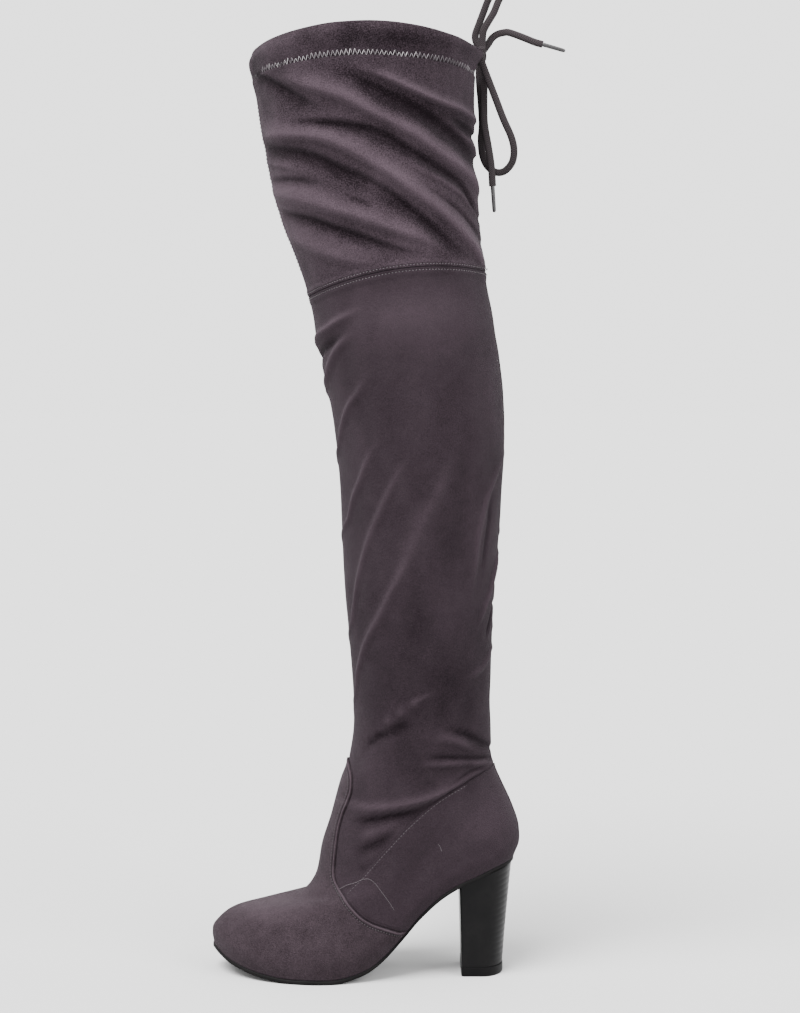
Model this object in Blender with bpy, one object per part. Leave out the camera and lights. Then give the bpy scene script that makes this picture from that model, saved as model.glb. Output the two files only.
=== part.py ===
"""Thigh high boot for the left foot, standing empty on its heel and its forefoot.

Metres, +Z up. The toe points along -X and the outer side faces -Y. The origin is the middle of
the heel's underside, on the ground.
"""

import math

import bmesh
import bpy
from mathutils import Vector

# Foot and sole
SOLE_LENGTH = 0.223         # toe to the back of the seat, along the ground
BALL_WIDTH = 0.084
WAIST_WIDTH = 0.054
SEAT_WIDTH = 0.056
TOE_SPRING = 0.016
SEAT_HEIGHT = 0.083         # ground to the underside of the sole, at the back of the seat
SEAT_BACK = 0.023           # back of the seat, behind the middle of the heel's underside
SOLE_EDGE = 0.003
WELT = 0.0006               # how far the sole stands out past the upper
THROAT_HEIGHT = 0.1605      # ground to the top of the vamp
COUNTER_HEIGHT = 0.098      # seat to the top of the counter

# Heel
HEEL_TOP_DEPTH = 0.0395
HEEL_TOP_WIDTH = 0.052
HEEL_FOOT_DEPTH = 0.031
HEEL_FOOT_WIDTH = 0.041
TOP_PIECE_HEIGHT = 0.0068
TOP_PIECE_FLARE = 0.0005

# Leg, each as height above the ground, depth front to back, and width side to side
ANKLE_HEIGHT, ANKLE_DEPTH, ANKLE_WIDTH = 0.207, 0.1010, 0.084
SHIN_HEIGHT, SHIN_DEPTH, SHIN_WIDTH = 0.2775, 0.1100, 0.094
CALF_HEIGHT, CALF_DEPTH, CALF_WIDTH = 0.3975, 0.1260, 0.109
BRACE_HEIGHT, BRACE_DEPTH, BRACE_WIDTH = 0.4725, 0.1325, 0.112
KNEE_HEIGHT, KNEE_DEPTH, KNEE_WIDTH = 0.5135, 0.1317, 0.116
THIGH_HEIGHT, THIGH_DEPTH, THIGH_WIDTH = 0.5975, 0.1520, 0.132
COLLAR_HEIGHT, COLLAR_DEPTH, COLLAR_WIDTH = 0.6870, 0.1720, 0.147
SIDE_RISE = 0.013           # how much higher the collar is at its sides
CASING_HEIGHT = 0.0190      # of the drawstring's casing, whose lower edge has the next two sizes
CASING_DEPTH, CASING_WIDTH = 0.1650, 0.143

# Cloth
UPPER_WALL = 0.0013
OVERLAY_WALL = 0.0009
INSOLE_WALL = 0.0020
KNEE_BAND = 0.0070          # height of the doubled cloth at the knee seam
KNEE_BAND_STEP = 0.0008
CASING_THICK = 0.0050       # casing with the cord in it
CASING_EDGE = 0.0024
CLEARANCE = 0.0003

# Drawstring
LACE_DIAMETER = 0.0042
AGLET_DIAMETER = 0.0032
AGLET_LENGTH_SIDE = 0.0180
AGLET_LENGTH_LOWER = 0.0200
KNOT_DEPTH, KNOT_WIDTH, KNOT_HEIGHT = 0.0080, 0.0144, 0.0125

COLUMNS = 56                # points round the boot, an even number
EVEN_SHARE = 0.22           # how far they are spaced evenly, and not closer at toe and back
CORD_SPACING = 2.0          # points along a cord, in diameters
CURVE_SAMPLES = 12          # between two points of a cord's route
HEEL_FLARE = 1.15           # power with which the heel widens to its top

# Underside of the sole: place from toe to seat, share of the toe spring, share of the seat height
SOLE_PROFILE = (
    (0.000, 1.00, 0.000),
    (0.072, 0.50, 0.000),
    (0.170, 0.15, 0.000),
    (0.245, 0.02, 0.000),
    (0.290, 0.00, 0.000),
    (0.400, 0.00, 0.000),
    (0.448, 0.00, 0.019),
    (0.516, 0.00, 0.078),
    (0.565, 0.00, 0.169),
    (0.628, 0.00, 0.343),
    (0.691, 0.00, 0.542),
    (0.767, 0.00, 0.729),
    (0.821, 0.00, 0.819),
    (0.874, 0.00, 0.880),
    (0.933, 0.00, 0.946),
    (1.000, 0.00, 1.000),
)

# Bend of the foot's middle line to the inner side: place, share of the ball width
FOOT_BEND = (
    (0.00, 0.100),
    (0.20, 0.035),
    (0.35, 0.000),
    (0.55, -0.030),
    (0.75, -0.015),
    (1.00, 0.000),
)

# Rings of the foot. front: place along the sole, and height as a share of THROAT_HEIGHT. back:
# distance past the seat as a share of SOLE_LENGTH, and rise as a share of COUNTER_HEIGHT.
# follow: how far it keeps the sole's curve. turn: how far it has turned into the ankle's oval.
# toe, ball, waist, seat, heel: fullness at five places, as shares of the ball, ball, waist, seat
# and seat width.
FOOT_RINGS = (
    # front         back           follow turn  toe    ball   waist  seat   heel
    (0.000, None, 0.000, None, 1.00, 0.00, 0.60, 0.532, 0.515, 0.770, 0.96),
    (-0.005, 0.168, 0.015, 0.10, 0.95, 0.00, 0.64, 0.552, 0.610, 0.810, 0.98),
    (0.004, 0.207, 0.016, 0.18, 0.88, 0.00, 0.62, 0.545, 0.630, 0.810, 0.95),
    (0.058, 0.268, 0.011, 0.26, 0.74, 0.00, 0.61, 0.485, 0.630, 0.800, 0.89),
    (0.157, 0.301, -0.005, 0.36, 0.58, 0.00, 0.53, 0.455, 0.630, 0.765, 0.82),
    (0.276, 0.333, -0.024, 0.46, 0.45, 0.10, 0.45, 0.430, 0.630, 0.730, 0.75),
    (0.341, 0.430, -0.045, 0.56, 0.28, 0.25, 0.42, 0.430, 0.640, 0.705, 0.70),
    (0.366, 0.590, -0.063, 0.66, 0.15, 0.45, 0.43, 0.450, 0.655, 0.690, 0.69),
    (0.396, 0.722, -0.072, 0.77, 0.05, 0.70, 0.46, 0.460, 0.700, 0.690, 0.69),
    (0.427, 0.885, -0.074, 0.89, 0.00, 0.90, 0.47, 0.470, 0.720, 0.700, 0.70),
    (0.455, 1.000, -0.075, 1.00, 0.00, 1.00, 0.48, 0.480, 0.730, 0.720, 0.72),
)

# Rings of the leg: height, depth, width; then, as shares of the depth, how far the back lies
# behind the seat and how much lower the front is than the back; last, share of SIDE_RISE.
LEG_RINGS = (
    (ANKLE_HEIGHT, ANKLE_DEPTH, ANKLE_WIDTH, -0.171, 0.098, 0.00),
    (SHIN_HEIGHT, SHIN_DEPTH, SHIN_WIDTH, -0.131, 0.000, 0.00),
    (CALF_HEIGHT, CALF_DEPTH, CALF_WIDTH, -0.048, 0.000, 0.00),
    (BRACE_HEIGHT, BRACE_DEPTH, BRACE_WIDTH, -0.097, 0.070, 0.30),
    (KNEE_HEIGHT, KNEE_DEPTH, KNEE_WIDTH, -0.157, 0.144, 0.70),
    (THIGH_HEIGHT, THIGH_DEPTH, THIGH_WIDTH, -0.183, 0.060, 0.50),
    (COLLAR_HEIGHT - CASING_HEIGHT, CASING_DEPTH, CASING_WIDTH, -0.170, 0.020, 0.60),
    (COLLAR_HEIGHT, COLLAR_DEPTH, COLLAR_WIDTH, -0.127, -0.002, 1.00),
)
ANKLE_RING = len(FOOT_RINGS)
KNEE_RING = ANKLE_RING + 4
TUNNEL_RING = ANKLE_RING + 6
COLLAR_RING = ANKLE_RING + 7

# Edge of the vamp, seen from the side: place along the sole, share of THROAT_HEIGHT
VAMP_EDGE = (
    (0.400, 1.020),
    (0.448, 0.985),
    (0.455, 0.930),
    (0.455, 0.870),
    (0.436, 0.780),
    (0.419, 0.667),
    (0.406, 0.523),
    (0.419, 0.433),
    (0.456, 0.355),
    (0.518, 0.297),
    (0.577, 0.265),
    (0.632, 0.235),
    (0.650, -0.100),
)

# Upper edge of the counter, in the same shares, from where it leaves the vamp to the back
COUNTER_EDGE = (
    (0.442, 0.402),
    (0.495, 0.479),
    (0.539, 0.553),
    (0.583, 0.625),
    (0.646, 0.721),
    (0.722, 0.813),
    (0.797, 0.879),
    (0.931, 0.958),
    (1.060, 1.000),
)

# Plan of the heel block: place from its flat front to its back, share of its half width
HEEL_PLAN = (
    (0.00, 0.90),
    (0.06, 1.00),
    (0.50, 1.00),
    (0.72, 0.88),
    (0.88, 0.63),
    (0.97, 0.33),
    (1.00, 0.00),
)

# Routes of the drawstring's loops and ends, chosen by eye
LOOP_UPPER_ROUTE = (
    (-0.0016, 0.0032, 0.6918), (-0.0040, 0.0039, 0.6962), (-0.0044, 0.0043, 0.7015),
    (-0.0018, 0.0044, 0.7090), (0.0016, 0.0044, 0.7180), (0.0048, 0.0042, 0.7265),
    (0.0088, 0.0034, 0.7345), (0.0128, 0.0010, 0.7385), (0.0150, -0.0018, 0.7365),
    (0.0144, -0.0042, 0.7295), (0.0118, -0.0049, 0.7235), (0.0090, -0.0050, 0.7165),
    (0.0045, -0.0048, 0.7090), (0.0014, -0.0042, 0.7030), (0.0006, -0.0035, 0.6970),
    (0.0004, -0.0032, 0.6913),
)
LOOP_LOWER_ROUTE = (
    (0.0006, -0.0047, 0.6780), (0.0026, -0.0052, 0.6725), (0.0056, -0.0060, 0.6645),
    (0.0107, -0.0066, 0.6510), (0.0161, -0.0066, 0.6368), (0.0221, -0.0056, 0.6233),
    (0.0242, -0.0040, 0.6135), (0.0228, -0.0018, 0.6047), (0.0173, 0.0010, 0.5985),
    (0.0107, 0.0034, 0.5980), (0.0044, 0.0050, 0.6030), (0.0010, 0.0060, 0.6113),
    (0.0000, 0.0064, 0.6225), (0.0008, 0.0064, 0.6340), (0.0000, 0.0060, 0.6500),
    (-0.0008, 0.0054, 0.6640), (-0.0006, 0.0049, 0.6730), (-0.0002, 0.0047, 0.6782),
)
END_SIDE_ROUTE = (
    (0.0024, 0.0012, 0.6902), (0.0052, 0.0010, 0.6940), (0.0078, 0.0006, 0.6980),
    (0.0115, 0.0000, 0.7008), (0.0160, -0.0010, 0.7020), (0.0206, -0.0020, 0.7020),
    (0.0304, -0.0036, 0.6983), (0.0393, -0.0048, 0.6945), (0.0455, -0.0054, 0.6926),
)
END_LOWER_ROUTE = (
    (0.0006, 0.0000, 0.6779), (0.0014, 0.0001, 0.6700), (0.0019, 0.0001, 0.6607),
    (0.0019, 0.0000, 0.6460), (0.0024, -0.0002, 0.6330), (0.0052, -0.0008, 0.6165),
    (0.0073, -0.0012, 0.6023), (0.0083, -0.0014, 0.5870),
)
KNOT_CENTRE = Vector((-0.0002, 0.0, 0.6845))


def smooth_rows(rows, place):
    """Reads a table at a place between its rows: a cubic through evenly counted rows."""
    last = len(rows) - 1
    low = max(0, min(last - 1, int(math.floor(place))))
    t = place - low
    before, after = rows[max(0, low - 1)], rows[min(last, low + 2)]
    start, end = rows[low], rows[low + 1]
    values = []
    for a, b, c, d in zip(before, start, end, after):
        leave = (c - a) / (2 if low > 0 else 1)
        arrive = (d - b) / (2 if low + 2 <= last else 1)
        values.append(
            (2 * t**3 - 3 * t**2 + 1) * b + (t**3 - 2 * t**2 + t) * leave
            + (3 * t**2 - 2 * t**3) * c + (t**3 - t**2) * arrive
        )
    return values


def blend_table(table, place):
    """Reads the later columns of a table at a place in its first column, without overshoot."""
    place = max(table[0][0], min(table[-1][0], place))
    low = next(k for k in range(len(table) - 1) if place <= table[k + 1][0])
    span = table[low + 1][0] - table[low][0]
    t = (place - table[low][0]) / span
    values = []
    for column in range(1, len(table[0])):
        slopes = []
        for k in (low, low + 1):
            left = slope(table, k - 1, column) if k > 0 else None
            right = slope(table, k, column) if k < len(table) - 1 else None
            slopes.append(gentle(left, right))
        b, c = table[low][column], table[low + 1][column]
        values.append(
            (2 * t**3 - 3 * t**2 + 1) * b + (t**3 - 2 * t**2 + t) * slopes[0] * span
            + (3 * t**2 - 2 * t**3) * c + (t**3 - t**2) * slopes[1] * span
        )
    return values


def slope(table, k, column):
    """Slope of one column between two rows."""
    return (table[k + 1][column] - table[k][column]) / (table[k + 1][0] - table[k][0])


def gentle(left, right):
    """Slope at a row that keeps the curve between its neighbours."""
    if left is None or right is None:
        return left if right is None else right
    if left * right <= 0:
        return 0.0
    return 2 * left * right / (left + right)


def toe_x():
    return SEAT_BACK - SOLE_LENGTH


def place_of(x):
    """Place from toe to seat of a point along the ground."""
    return (x - toe_x()) / SOLE_LENGTH


def sole_rise(place):
    """Height of the sole's underside."""
    spring, seat = blend_table(SOLE_PROFILE, place)
    return spring * TOE_SPRING + seat * SEAT_HEIGHT


def station_places():
    """Places from front to back of the points of a ring, closer together at its ends."""
    half = COLUMNS // 2
    places = []
    for k in range(half + 1):
        close = (1 - math.cos(math.pi * k / half)) / 2
        places.append(EVEN_SHARE * k / half + (1 - EVEN_SHARE) * close)
    return places


STATIONS = station_places()


def faceted_rise(x):
    """Height of the sole's underside, straight between the stations that its edge uses."""
    place = place_of(x)
    low = max(0, min(len(STATIONS) - 2, sum(1 for s in STATIONS if s <= place) - 1))
    a, b = STATIONS[low], STATIONS[low + 1]
    return sole_rise(a) + (sole_rise(b) - sole_rise(a)) * (place - a) / (b - a)


def sole_drop(x):
    """How far the sole lies below a straight line from toe to seat."""
    place = max(0.0, min(1.0, place_of(x)))
    return sole_rise(place) - (TOE_SPRING + (SEAT_HEIGHT - TOE_SPRING) * place)


def ring_rows():
    """Every ring as front x and z, back x and z, follow, side rise, bend, and five fullnesses."""
    edge = SOLE_EDGE + CLEARANCE
    rows = []
    for front, front_up, back, back_up, follow, turn, *full in FOOT_RINGS:
        front_z = TOE_SPRING + edge if front_up is None else front_up * THROAT_HEIGHT
        back_z = SEAT_HEIGHT + edge + (0.0 if back_up is None else back_up * COUNTER_HEIGHT)
        sizes = (BALL_WIDTH, BALL_WIDTH, WAIST_WIDTH, SEAT_WIDTH, SEAT_WIDTH)
        widths = [(1 - turn) * f * size + turn * ANKLE_WIDTH / 2 for f, size in zip(full, sizes)]
        front_x = toe_x() + front * SOLE_LENGTH
        back_x = SEAT_BACK + back * SOLE_LENGTH
        rows.append([front_x, front_z, back_x, back_z, follow, 0.0, 1 - turn, *widths])
    for height, depth, width, back, tilt, rise in LEG_RINGS:
        back_x = SEAT_BACK + back * depth
        half_tilt = tilt * depth / 2
        rows.append([back_x - depth, height - half_tilt, back_x, height + half_tilt, 0.0,
                     rise * SIDE_RISE, 0.0, *[width / 2] * 5])
    return rows


RINGS = ring_rows()


def fullness_table(widths):
    """A ring's half widths, each with its place from the ring's front to its back."""
    return tuple(zip((0.0, 0.33, 0.62, 0.88, 1.0), widths))


def form_point(station, side, ring):
    """Point of the boot's outer form. side is -1 for the outer side and 1 for the inner side."""
    front_x, front_z, back_x, back_z, follow, rise, bend, *widths = smooth_rows(RINGS, ring)
    x = front_x + (back_x - front_x) * station
    oval = 2 * math.sqrt(max(0.0, station * (1 - station)))
    full = blend_table(fullness_table(widths), station)[0]
    middle = blend_table(FOOT_BEND, station)[0] * BALL_WIDTH * bend
    y = middle + side * full * oval
    dip = sole_drop(x) - (sole_drop(front_x) * (1 - station) + sole_drop(back_x) * station)
    z = front_z + (back_z - front_z) * station + follow * dip + rise * oval**2
    return Vector((x, y, z))


def column_places():
    """Station and side of each column, from the toe round the outer side and back."""
    half = COLUMNS // 2
    outer = [(STATIONS[k], -1) for k in range(half + 1)]
    inner = [(STATIONS[k], 1) for k in range(half - 1, 0, -1)]
    return outer + inner


def form_grid(rings):
    """Points of the outer form: one row of columns for each ring."""
    return [[form_point(station, side, ring) for station, side in column_places()] for ring in rings]


def grid_normals(grid, level_rows):
    """Outward direction at each point of a grid. Rows in level_rows get a level direction."""
    rows, columns = len(grid), len(grid[0])
    normals = []
    for r in range(rows):
        line = []
        for c in range(columns):
            along = grid[r][(c + 1) % columns] - grid[r][c - 1]
            up = grid[min(rows - 1, r + 1)][c] - grid[max(0, r - 1)][c]
            normal = along.cross(up)
            if r in level_rows:
                normal.z = 0.0
            line.append(normal.normalized())
        normals.append(line)
    return normals


def offset_grid(grid, normals, distances):
    """Moves each row of a grid along its normals by its own distance."""
    return [
        [point + normal * distance for point, normal in zip(row, line)]
        for row, line, distance in zip(grid, normals, distances)
    ]


def seat_row(row):
    """Puts a row of points just above the top of the sole."""
    for point in row:
        point.z = faceted_rise(point.x) + SOLE_EDGE + CLEARANCE


def new_object(name, mesh, material, collection="thigh_high_boot"):
    """Object for a mesh or curve, in a collection that is made when it is first named."""
    obj = bpy.data.objects.new(name, mesh)
    if material:
        mesh.materials.append(material)
    folder = bpy.data.collections.get(collection)
    if folder is None:
        folder = bpy.data.collections.new(collection)
        bpy.context.scene.collection.children.link(folder)
    folder.objects.link(obj)
    return obj


def finish_mesh(name, bm, sharp_angle=40):
    """Mesh with its faces pointing out, smooth but for edges above an angle in degrees."""
    bmesh.ops.recalc_face_normals(bm, faces=bm.faces)
    mesh = bpy.data.meshes.new(name)
    bm.to_mesh(mesh)
    bm.free()
    mesh.shade_smooth()
    mesh.set_sharp_from_angle(angle=math.radians(sharp_angle))
    return mesh


def bridge(bm, lower, upper):
    """Triangles between two rows of vertices, all split the same way."""
    count = len(lower)
    for k in range(count):
        n = (k + 1) % count
        bm.faces.new((lower[k], lower[n], upper[n]))
        bm.faces.new((lower[k], upper[n], upper[k]))


def wall_mesh(name, outer, inner):
    """Closed wall between an outer and an inner grid, open at its top and its bottom."""
    bm = bmesh.new()
    outside = [[bm.verts.new(p) for p in row] for row in outer]
    inside = [[bm.verts.new(p) for p in row] for row in inner]
    for rows in (outside, inside):
        for lower, upper in zip(rows, rows[1:]):
            bridge(bm, lower, upper)
    bridge(bm, inside[0], outside[0])
    bridge(bm, outside[-1], inside[-1])
    return finish_mesh(name, bm)


def leg_wall(rings, outer_steps, wall, seated, shift_low, shift_high):
    """Outer and inner grids of a wall of cloth along the form."""
    grid = form_grid(rings)
    level = set(range(len(rings))) if not seated else {0} | {
        r for r, ring in enumerate(rings) if ring >= ANKLE_RING - 1
    }
    normals = grid_normals(grid, level)
    outer = offset_grid(grid, normals, outer_steps)
    inner = offset_grid(grid, normals, [-wall] * len(rings))
    for rows in (outer, inner):
        if seated:
            seat_row(rows[0])
        for point in rows[0]:
            point.z += shift_low
        for point in rows[-1]:
            point.z -= shift_high
    return outer, inner


def upper_rings():
    """Rings of the upper: those of the foot's table, and twice as many as those of the leg's."""
    foot = list(range(ANKLE_RING))
    leg = [ANKLE_RING + k / 2 for k in range(2 * (KNEE_RING - ANKLE_RING) + 1)]
    return foot + leg


def build_upper(material):
    """The sock of the boot, from the sole's edge to the knee seam."""
    rings = upper_rings()
    outer, inner = leg_wall(rings, [0.0] * len(rings), UPPER_WALL, True, 0.0, CLEARANCE / 2)
    new_object("upper", wall_mesh("upper", outer, inner), material)


def build_thigh_panel(material):
    """The cloth above the knee seam, doubled along its lower edge."""
    ring_height = THIGH_HEIGHT - KNEE_HEIGHT
    band = KNEE_BAND / ring_height
    step = KNEE_BAND_STEP / ring_height
    rings = [KNEE_RING, KNEE_RING + band, KNEE_RING + band + step, KNEE_RING + 0.5,
             KNEE_RING + 1, KNEE_RING + 1.5, TUNNEL_RING]
    steps = [KNEE_BAND_STEP, KNEE_BAND_STEP] + [0.0] * 5
    outer, inner = leg_wall(rings, steps, UPPER_WALL, False, CLEARANCE / 2, CLEARANCE / 2)
    new_object("thigh_panel", wall_mesh("thigh_panel", outer, inner), material)


def side_outline(table, margin):
    """Smooth side view line through a table of places and heights, moved sideways by a margin."""
    points = []
    steps = 2
    for k in range((len(table) - 1) * steps + 1):
        place, height = smooth_rows(table, k / steps)
        points.append(Vector((toe_x() + place * SOLE_LENGTH, height * THROAT_HEIGHT)))
    moved = []
    for k, point in enumerate(points):
        along = (points[min(len(points) - 1, k + 1)] - points[max(0, k - 1)]).normalized()
        moved.append(point + Vector((-along.y, along.x)) * margin)
    return moved


def side_cutter(name, outline):
    """Prism across the boot with the given side view outline."""
    reach = BALL_WIDTH + CALF_WIDTH
    bm = bmesh.new()
    face = bm.faces.new([bm.verts.new((p.x, -reach, p.y)) for p in outline])
    moved = bmesh.ops.extrude_face_region(bm, geom=[face])
    verts = [v for v in moved["geom"] if isinstance(v, bmesh.types.BMVert)]
    bmesh.ops.translate(bm, verts=verts, vec=(0, 2 * reach, 0))
    cutter = new_object(name, finish_mesh(name, bm), None, "cutters")
    cutter.hide_render = True
    cutter.display_type = "WIRE"
    return cutter


def overlay_shell():
    """Grids of the cloth that is lapped over the foot, before it is cut to shape."""
    rings = list(range(ANKLE_RING + 1))
    grid = form_grid(rings)
    level = {0, ANKLE_RING - 1, ANKLE_RING}
    normals = grid_normals(grid, level)
    outer = offset_grid(grid, normals, [CLEARANCE + OVERLAY_WALL] * len(rings))
    inner = offset_grid(grid, normals, [CLEARANCE] * len(rings))
    seat_row(outer[0])
    seat_row(inner[0])
    return outer, inner


def build_overlay(name, material, outline):
    """A piece of the overlay, kept inside a side view outline."""
    obj = new_object(name, wall_mesh(name, *overlay_shell()), material)
    cut = obj.modifiers.new("side outline", "BOOLEAN")
    cut.operation = "INTERSECT"
    cut.solver = "EXACT"
    cut.object = side_cutter(name + "_outline", outline)
    return obj


def build_vamp(material):
    """Toe and instep."""
    edge = side_outline(VAMP_EDGE, -CLEARANCE / 2)
    beyond = Vector((toe_x() - BALL_WIDTH, edge[-1].y))
    top = Vector((beyond.x, edge[0].y))
    build_overlay("vamp", material, edge + [beyond, top])


def build_counter(material):
    """Back of the foot, below the slanting seam."""
    start = COUNTER_EDGE[0][1] * THROAT_HEIGHT
    front = [p for p in side_outline(VAMP_EDGE, CLEARANCE / 2) if p.y < start]
    top = side_outline(COUNTER_EDGE, 0.0)
    beyond = Vector((SEAT_BACK + BALL_WIDTH, front[-1].y))
    above = Vector((beyond.x, top[-1].y))
    build_overlay("counter", material, top + [above, beyond] + front[::-1])


def plan_row(offset, height):
    """Points of the sole's plan at an offset from the upper, with a height for each place."""
    grid = form_grid([0, 0.5])
    normals = grid_normals(grid, {0, 1})
    row = [point + normal * offset for point, normal in zip(grid[0], normals[0])]
    for point in row:
        point.z = height(point.x)
    return row


def plate_mesh(name, rows):
    """Closed plate from its lowest to its highest row, with strips across its two faces."""
    bm = bmesh.new()
    loops = [[bm.verts.new(p) for p in row] for row in rows]
    for lower, upper in zip(loops, loops[1:]):
        bridge(bm, lower, upper)
    for loop in (loops[0], loops[-1]):
        count = len(loop)
        for k in range(count // 2):
            corners = [loop[k], loop[k + 1], loop[-(k + 1)], loop[-k] if k else loop[0]]
            unique = list(dict.fromkeys(corners))
            bm.faces.new(unique)
    return finish_mesh(name, bm)


def level_pairs(row):
    """Gives both sides of each station the same height, so that the strips across are flat."""
    count = len(row)
    for k in range(1, count // 2):
        middle = (row[k].x + row[-k].x) / 2
        for point in (row[k], row[-k]):
            point.x = middle
    return row


def sole_row(offset, lift):
    """Row of the sole's plan that lies a given lift above the sole's underside."""
    row = level_pairs(plan_row(offset, faceted_rise))
    for point in row:
        point.z = faceted_rise(point.x) + lift
    return row


def build_outsole(material):
    """Thin sole, from the toe to the back of the seat."""
    edge = CLEARANCE + OVERLAY_WALL + WELT
    round_over = SOLE_EDGE / 4
    rows = [sole_row(edge - round_over, 0.0), sole_row(edge, round_over),
            sole_row(edge, SOLE_EDGE - round_over / 2), sole_row(edge - round_over / 2, SOLE_EDGE)]
    new_object("outsole", plate_mesh("outsole", rows), material)


def build_insole(material):
    """Insole inside the upper, just above the sole."""
    inside = -(UPPER_WALL + 2 * CLEARANCE)
    low = SOLE_EDGE + CLEARANCE
    rows = [sole_row(inside, low), sole_row(inside, low + INSOLE_WALL)]
    new_object("insole", plate_mesh("insole", rows), material)


def heel_row(front, depth, width, height):
    """D-shaped row of the heel: flat at the front, round at the back."""
    half = [(front + depth * place, -width / 2 * share) for place, share in HEEL_PLAN]
    row = half + [(x, -y) for x, y in half[-2::-1]]
    return [Vector((x, y, height(x))) for x, y in row]


def heel_mesh(name, rows):
    """Closed block from its lowest to its highest D-shaped row."""
    bm = bmesh.new()
    loops = [[bm.verts.new(p) for p in row] for row in rows]
    for lower, upper in zip(loops, loops[1:]):
        bridge(bm, lower, upper)
    last = len(loops[0]) - 1
    for loop in (loops[0], loops[-1]):
        for k in range(last // 2):
            corners = [loop[k], loop[k + 1], loop[last - k - 1], loop[last - k]]
            bm.faces.new(list(dict.fromkeys(corners)))
    return finish_mesh(name, bm, 30)


def heel_top_front():
    return SEAT_BACK - WELT - HEEL_TOP_DEPTH


def build_heel(material):
    """Block from the wearing piece up to the underside of the sole."""
    foot = TOP_PIECE_HEIGHT + CLEARANCE
    front = -HEEL_FOOT_DEPTH / 2
    rows = []
    levels = 3
    for k in range(levels):
        share = (k / levels) ** HEEL_FLARE
        rows.append(heel_row(
            front + (heel_top_front() - front) * share,
            HEEL_FOOT_DEPTH + (HEEL_TOP_DEPTH - HEEL_FOOT_DEPTH) * share,
            HEEL_FOOT_WIDTH + (HEEL_TOP_WIDTH - HEEL_FOOT_WIDTH) * share,
            lambda x, share=share: foot + (faceted_rise(x) - CLEARANCE - foot) * share,
        ))
    rows.append(heel_row(heel_top_front(), HEEL_TOP_DEPTH, HEEL_TOP_WIDTH,
                         lambda x: faceted_rise(x) - CLEARANCE))
    new_object("heel", heel_mesh("heel", rows), material)


def build_top_piece(material):
    """Wearing piece under the heel."""
    flare = TOP_PIECE_FLARE
    rows = [
        heel_row(-HEEL_FOOT_DEPTH / 2 - flare / 2, HEEL_FOOT_DEPTH + flare, HEEL_FOOT_WIDTH + flare,
                 lambda x, height=height: height)
        for height in (0.0, TOP_PIECE_HEIGHT)
    ]
    new_object("top_piece", heel_mesh("top_piece", rows), material)


def casing_columns():
    """Station and side of each column of the casing, from the knot's one side to its other."""
    mouth = (KNOT_WIDTH + 2 * CLEARANCE) / COLLAR_WIDTH
    last = (1 + math.sqrt(1 - mouth**2)) / 2
    places = [s for s in STATIONS if s < last - CLEARANCE / COLLAR_DEPTH] + [last]
    return [(s, 1) for s in places[::-1]] + [(s, -1) for s in places[1:]]


def build_casing(material):
    """Folded tunnel at the collar, open at the back where the cord comes out to its knot."""
    columns = casing_columns()
    grid = [[form_point(station, side, ring) for station, side in columns]
            for ring in (TUNNEL_RING, TUNNEL_RING + 0.5, COLLAR_RING)]
    bulge = CASING_THICK - CASING_EDGE
    crest = CASING_EDGE / 3
    section = (
        (0, 0.0, CLEARANCE / 2),
        (1, bulge, 0.0),
        (2, 0.0, -crest),
        (2, -CASING_EDGE / 2, 0.0),
        (2, -CASING_EDGE, -crest),
        (0, -CASING_EDGE, CLEARANCE / 2),
    )
    bm = bmesh.new()
    loops = []
    for k in range(len(columns)):
        low, high = max(0, k - 1), min(len(columns) - 1, k + 1)
        loop = []
        for row, out, lift in section:
            along = grid[row][high] - grid[row][low]
            outward = Vector((along.y, -along.x, 0.0)).normalized()
            point = grid[row][k] + outward * out
            loop.append(bm.verts.new((point.x, point.y, point.z + lift)))
        loops.append(loop)
    for one, other in zip(loops, loops[1:]):
        bridge(bm, one, other)
    bm.faces.new(loops[0])
    bm.faces.new(loops[-1])
    new_object("drawstring_casing", finish_mesh("drawstring_casing", bm), material)


def cord_points(route):
    """Points along a smooth curve through a route, evenly spaced."""
    dense = []
    for k in range((len(route) - 1) * CURVE_SAMPLES + 1):
        dense.append(Vector(smooth_rows(route, k / CURVE_SAMPLES)))
    length = sum((b - a).length for a, b in zip(dense, dense[1:]))
    count = max(3, round(length / (CORD_SPACING * LACE_DIAMETER)))
    points, walked, target = [dense[0]], 0.0, length / count
    for a, b in zip(dense, dense[1:]):
        walked += (b - a).length
        if walked >= target - 1e-9 and len(points) < count:
            points.append(b)
            target += length / count
    return points + [dense[-1]]


def build_cord(name, points, diameter, material):
    """Round cord along points, with closed ends."""
    curve = bpy.data.curves.new(name, "CURVE")
    curve.dimensions = "3D"
    curve.bevel_depth = diameter / 2
    curve.bevel_resolution = 2
    curve.use_fill_caps = True
    spline = curve.splines.new("POLY")
    spline.points.add(len(points) - 1)
    for spot, point in zip(spline.points, points):
        spot.co = (*point, 1.0)
    return new_object(name, curve, material)


def build_aglet(name, route, length, material):
    """Hard tip that carries on from the end of a route."""
    end = Vector(route[-1])
    along = (end - Vector(route[-2])).normalized()
    start = end + along * CLEARANCE
    build_cord(name, [start, start + along * length], AGLET_DIAMETER, material)


def build_knot(material):
    """Knot that fills the casing's mouth, where the drawstring's two leads run into it."""
    bm = bmesh.new()
    bmesh.ops.create_uvsphere(bm, u_segments=12, v_segments=8, radius=0.5)
    bmesh.ops.scale(bm, vec=(KNOT_DEPTH, KNOT_WIDTH, KNOT_HEIGHT), verts=bm.verts)
    bmesh.ops.translate(bm, vec=KNOT_CENTRE, verts=bm.verts)
    new_object("lace_knot", finish_mesh("lace_knot", bm), material)


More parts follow.
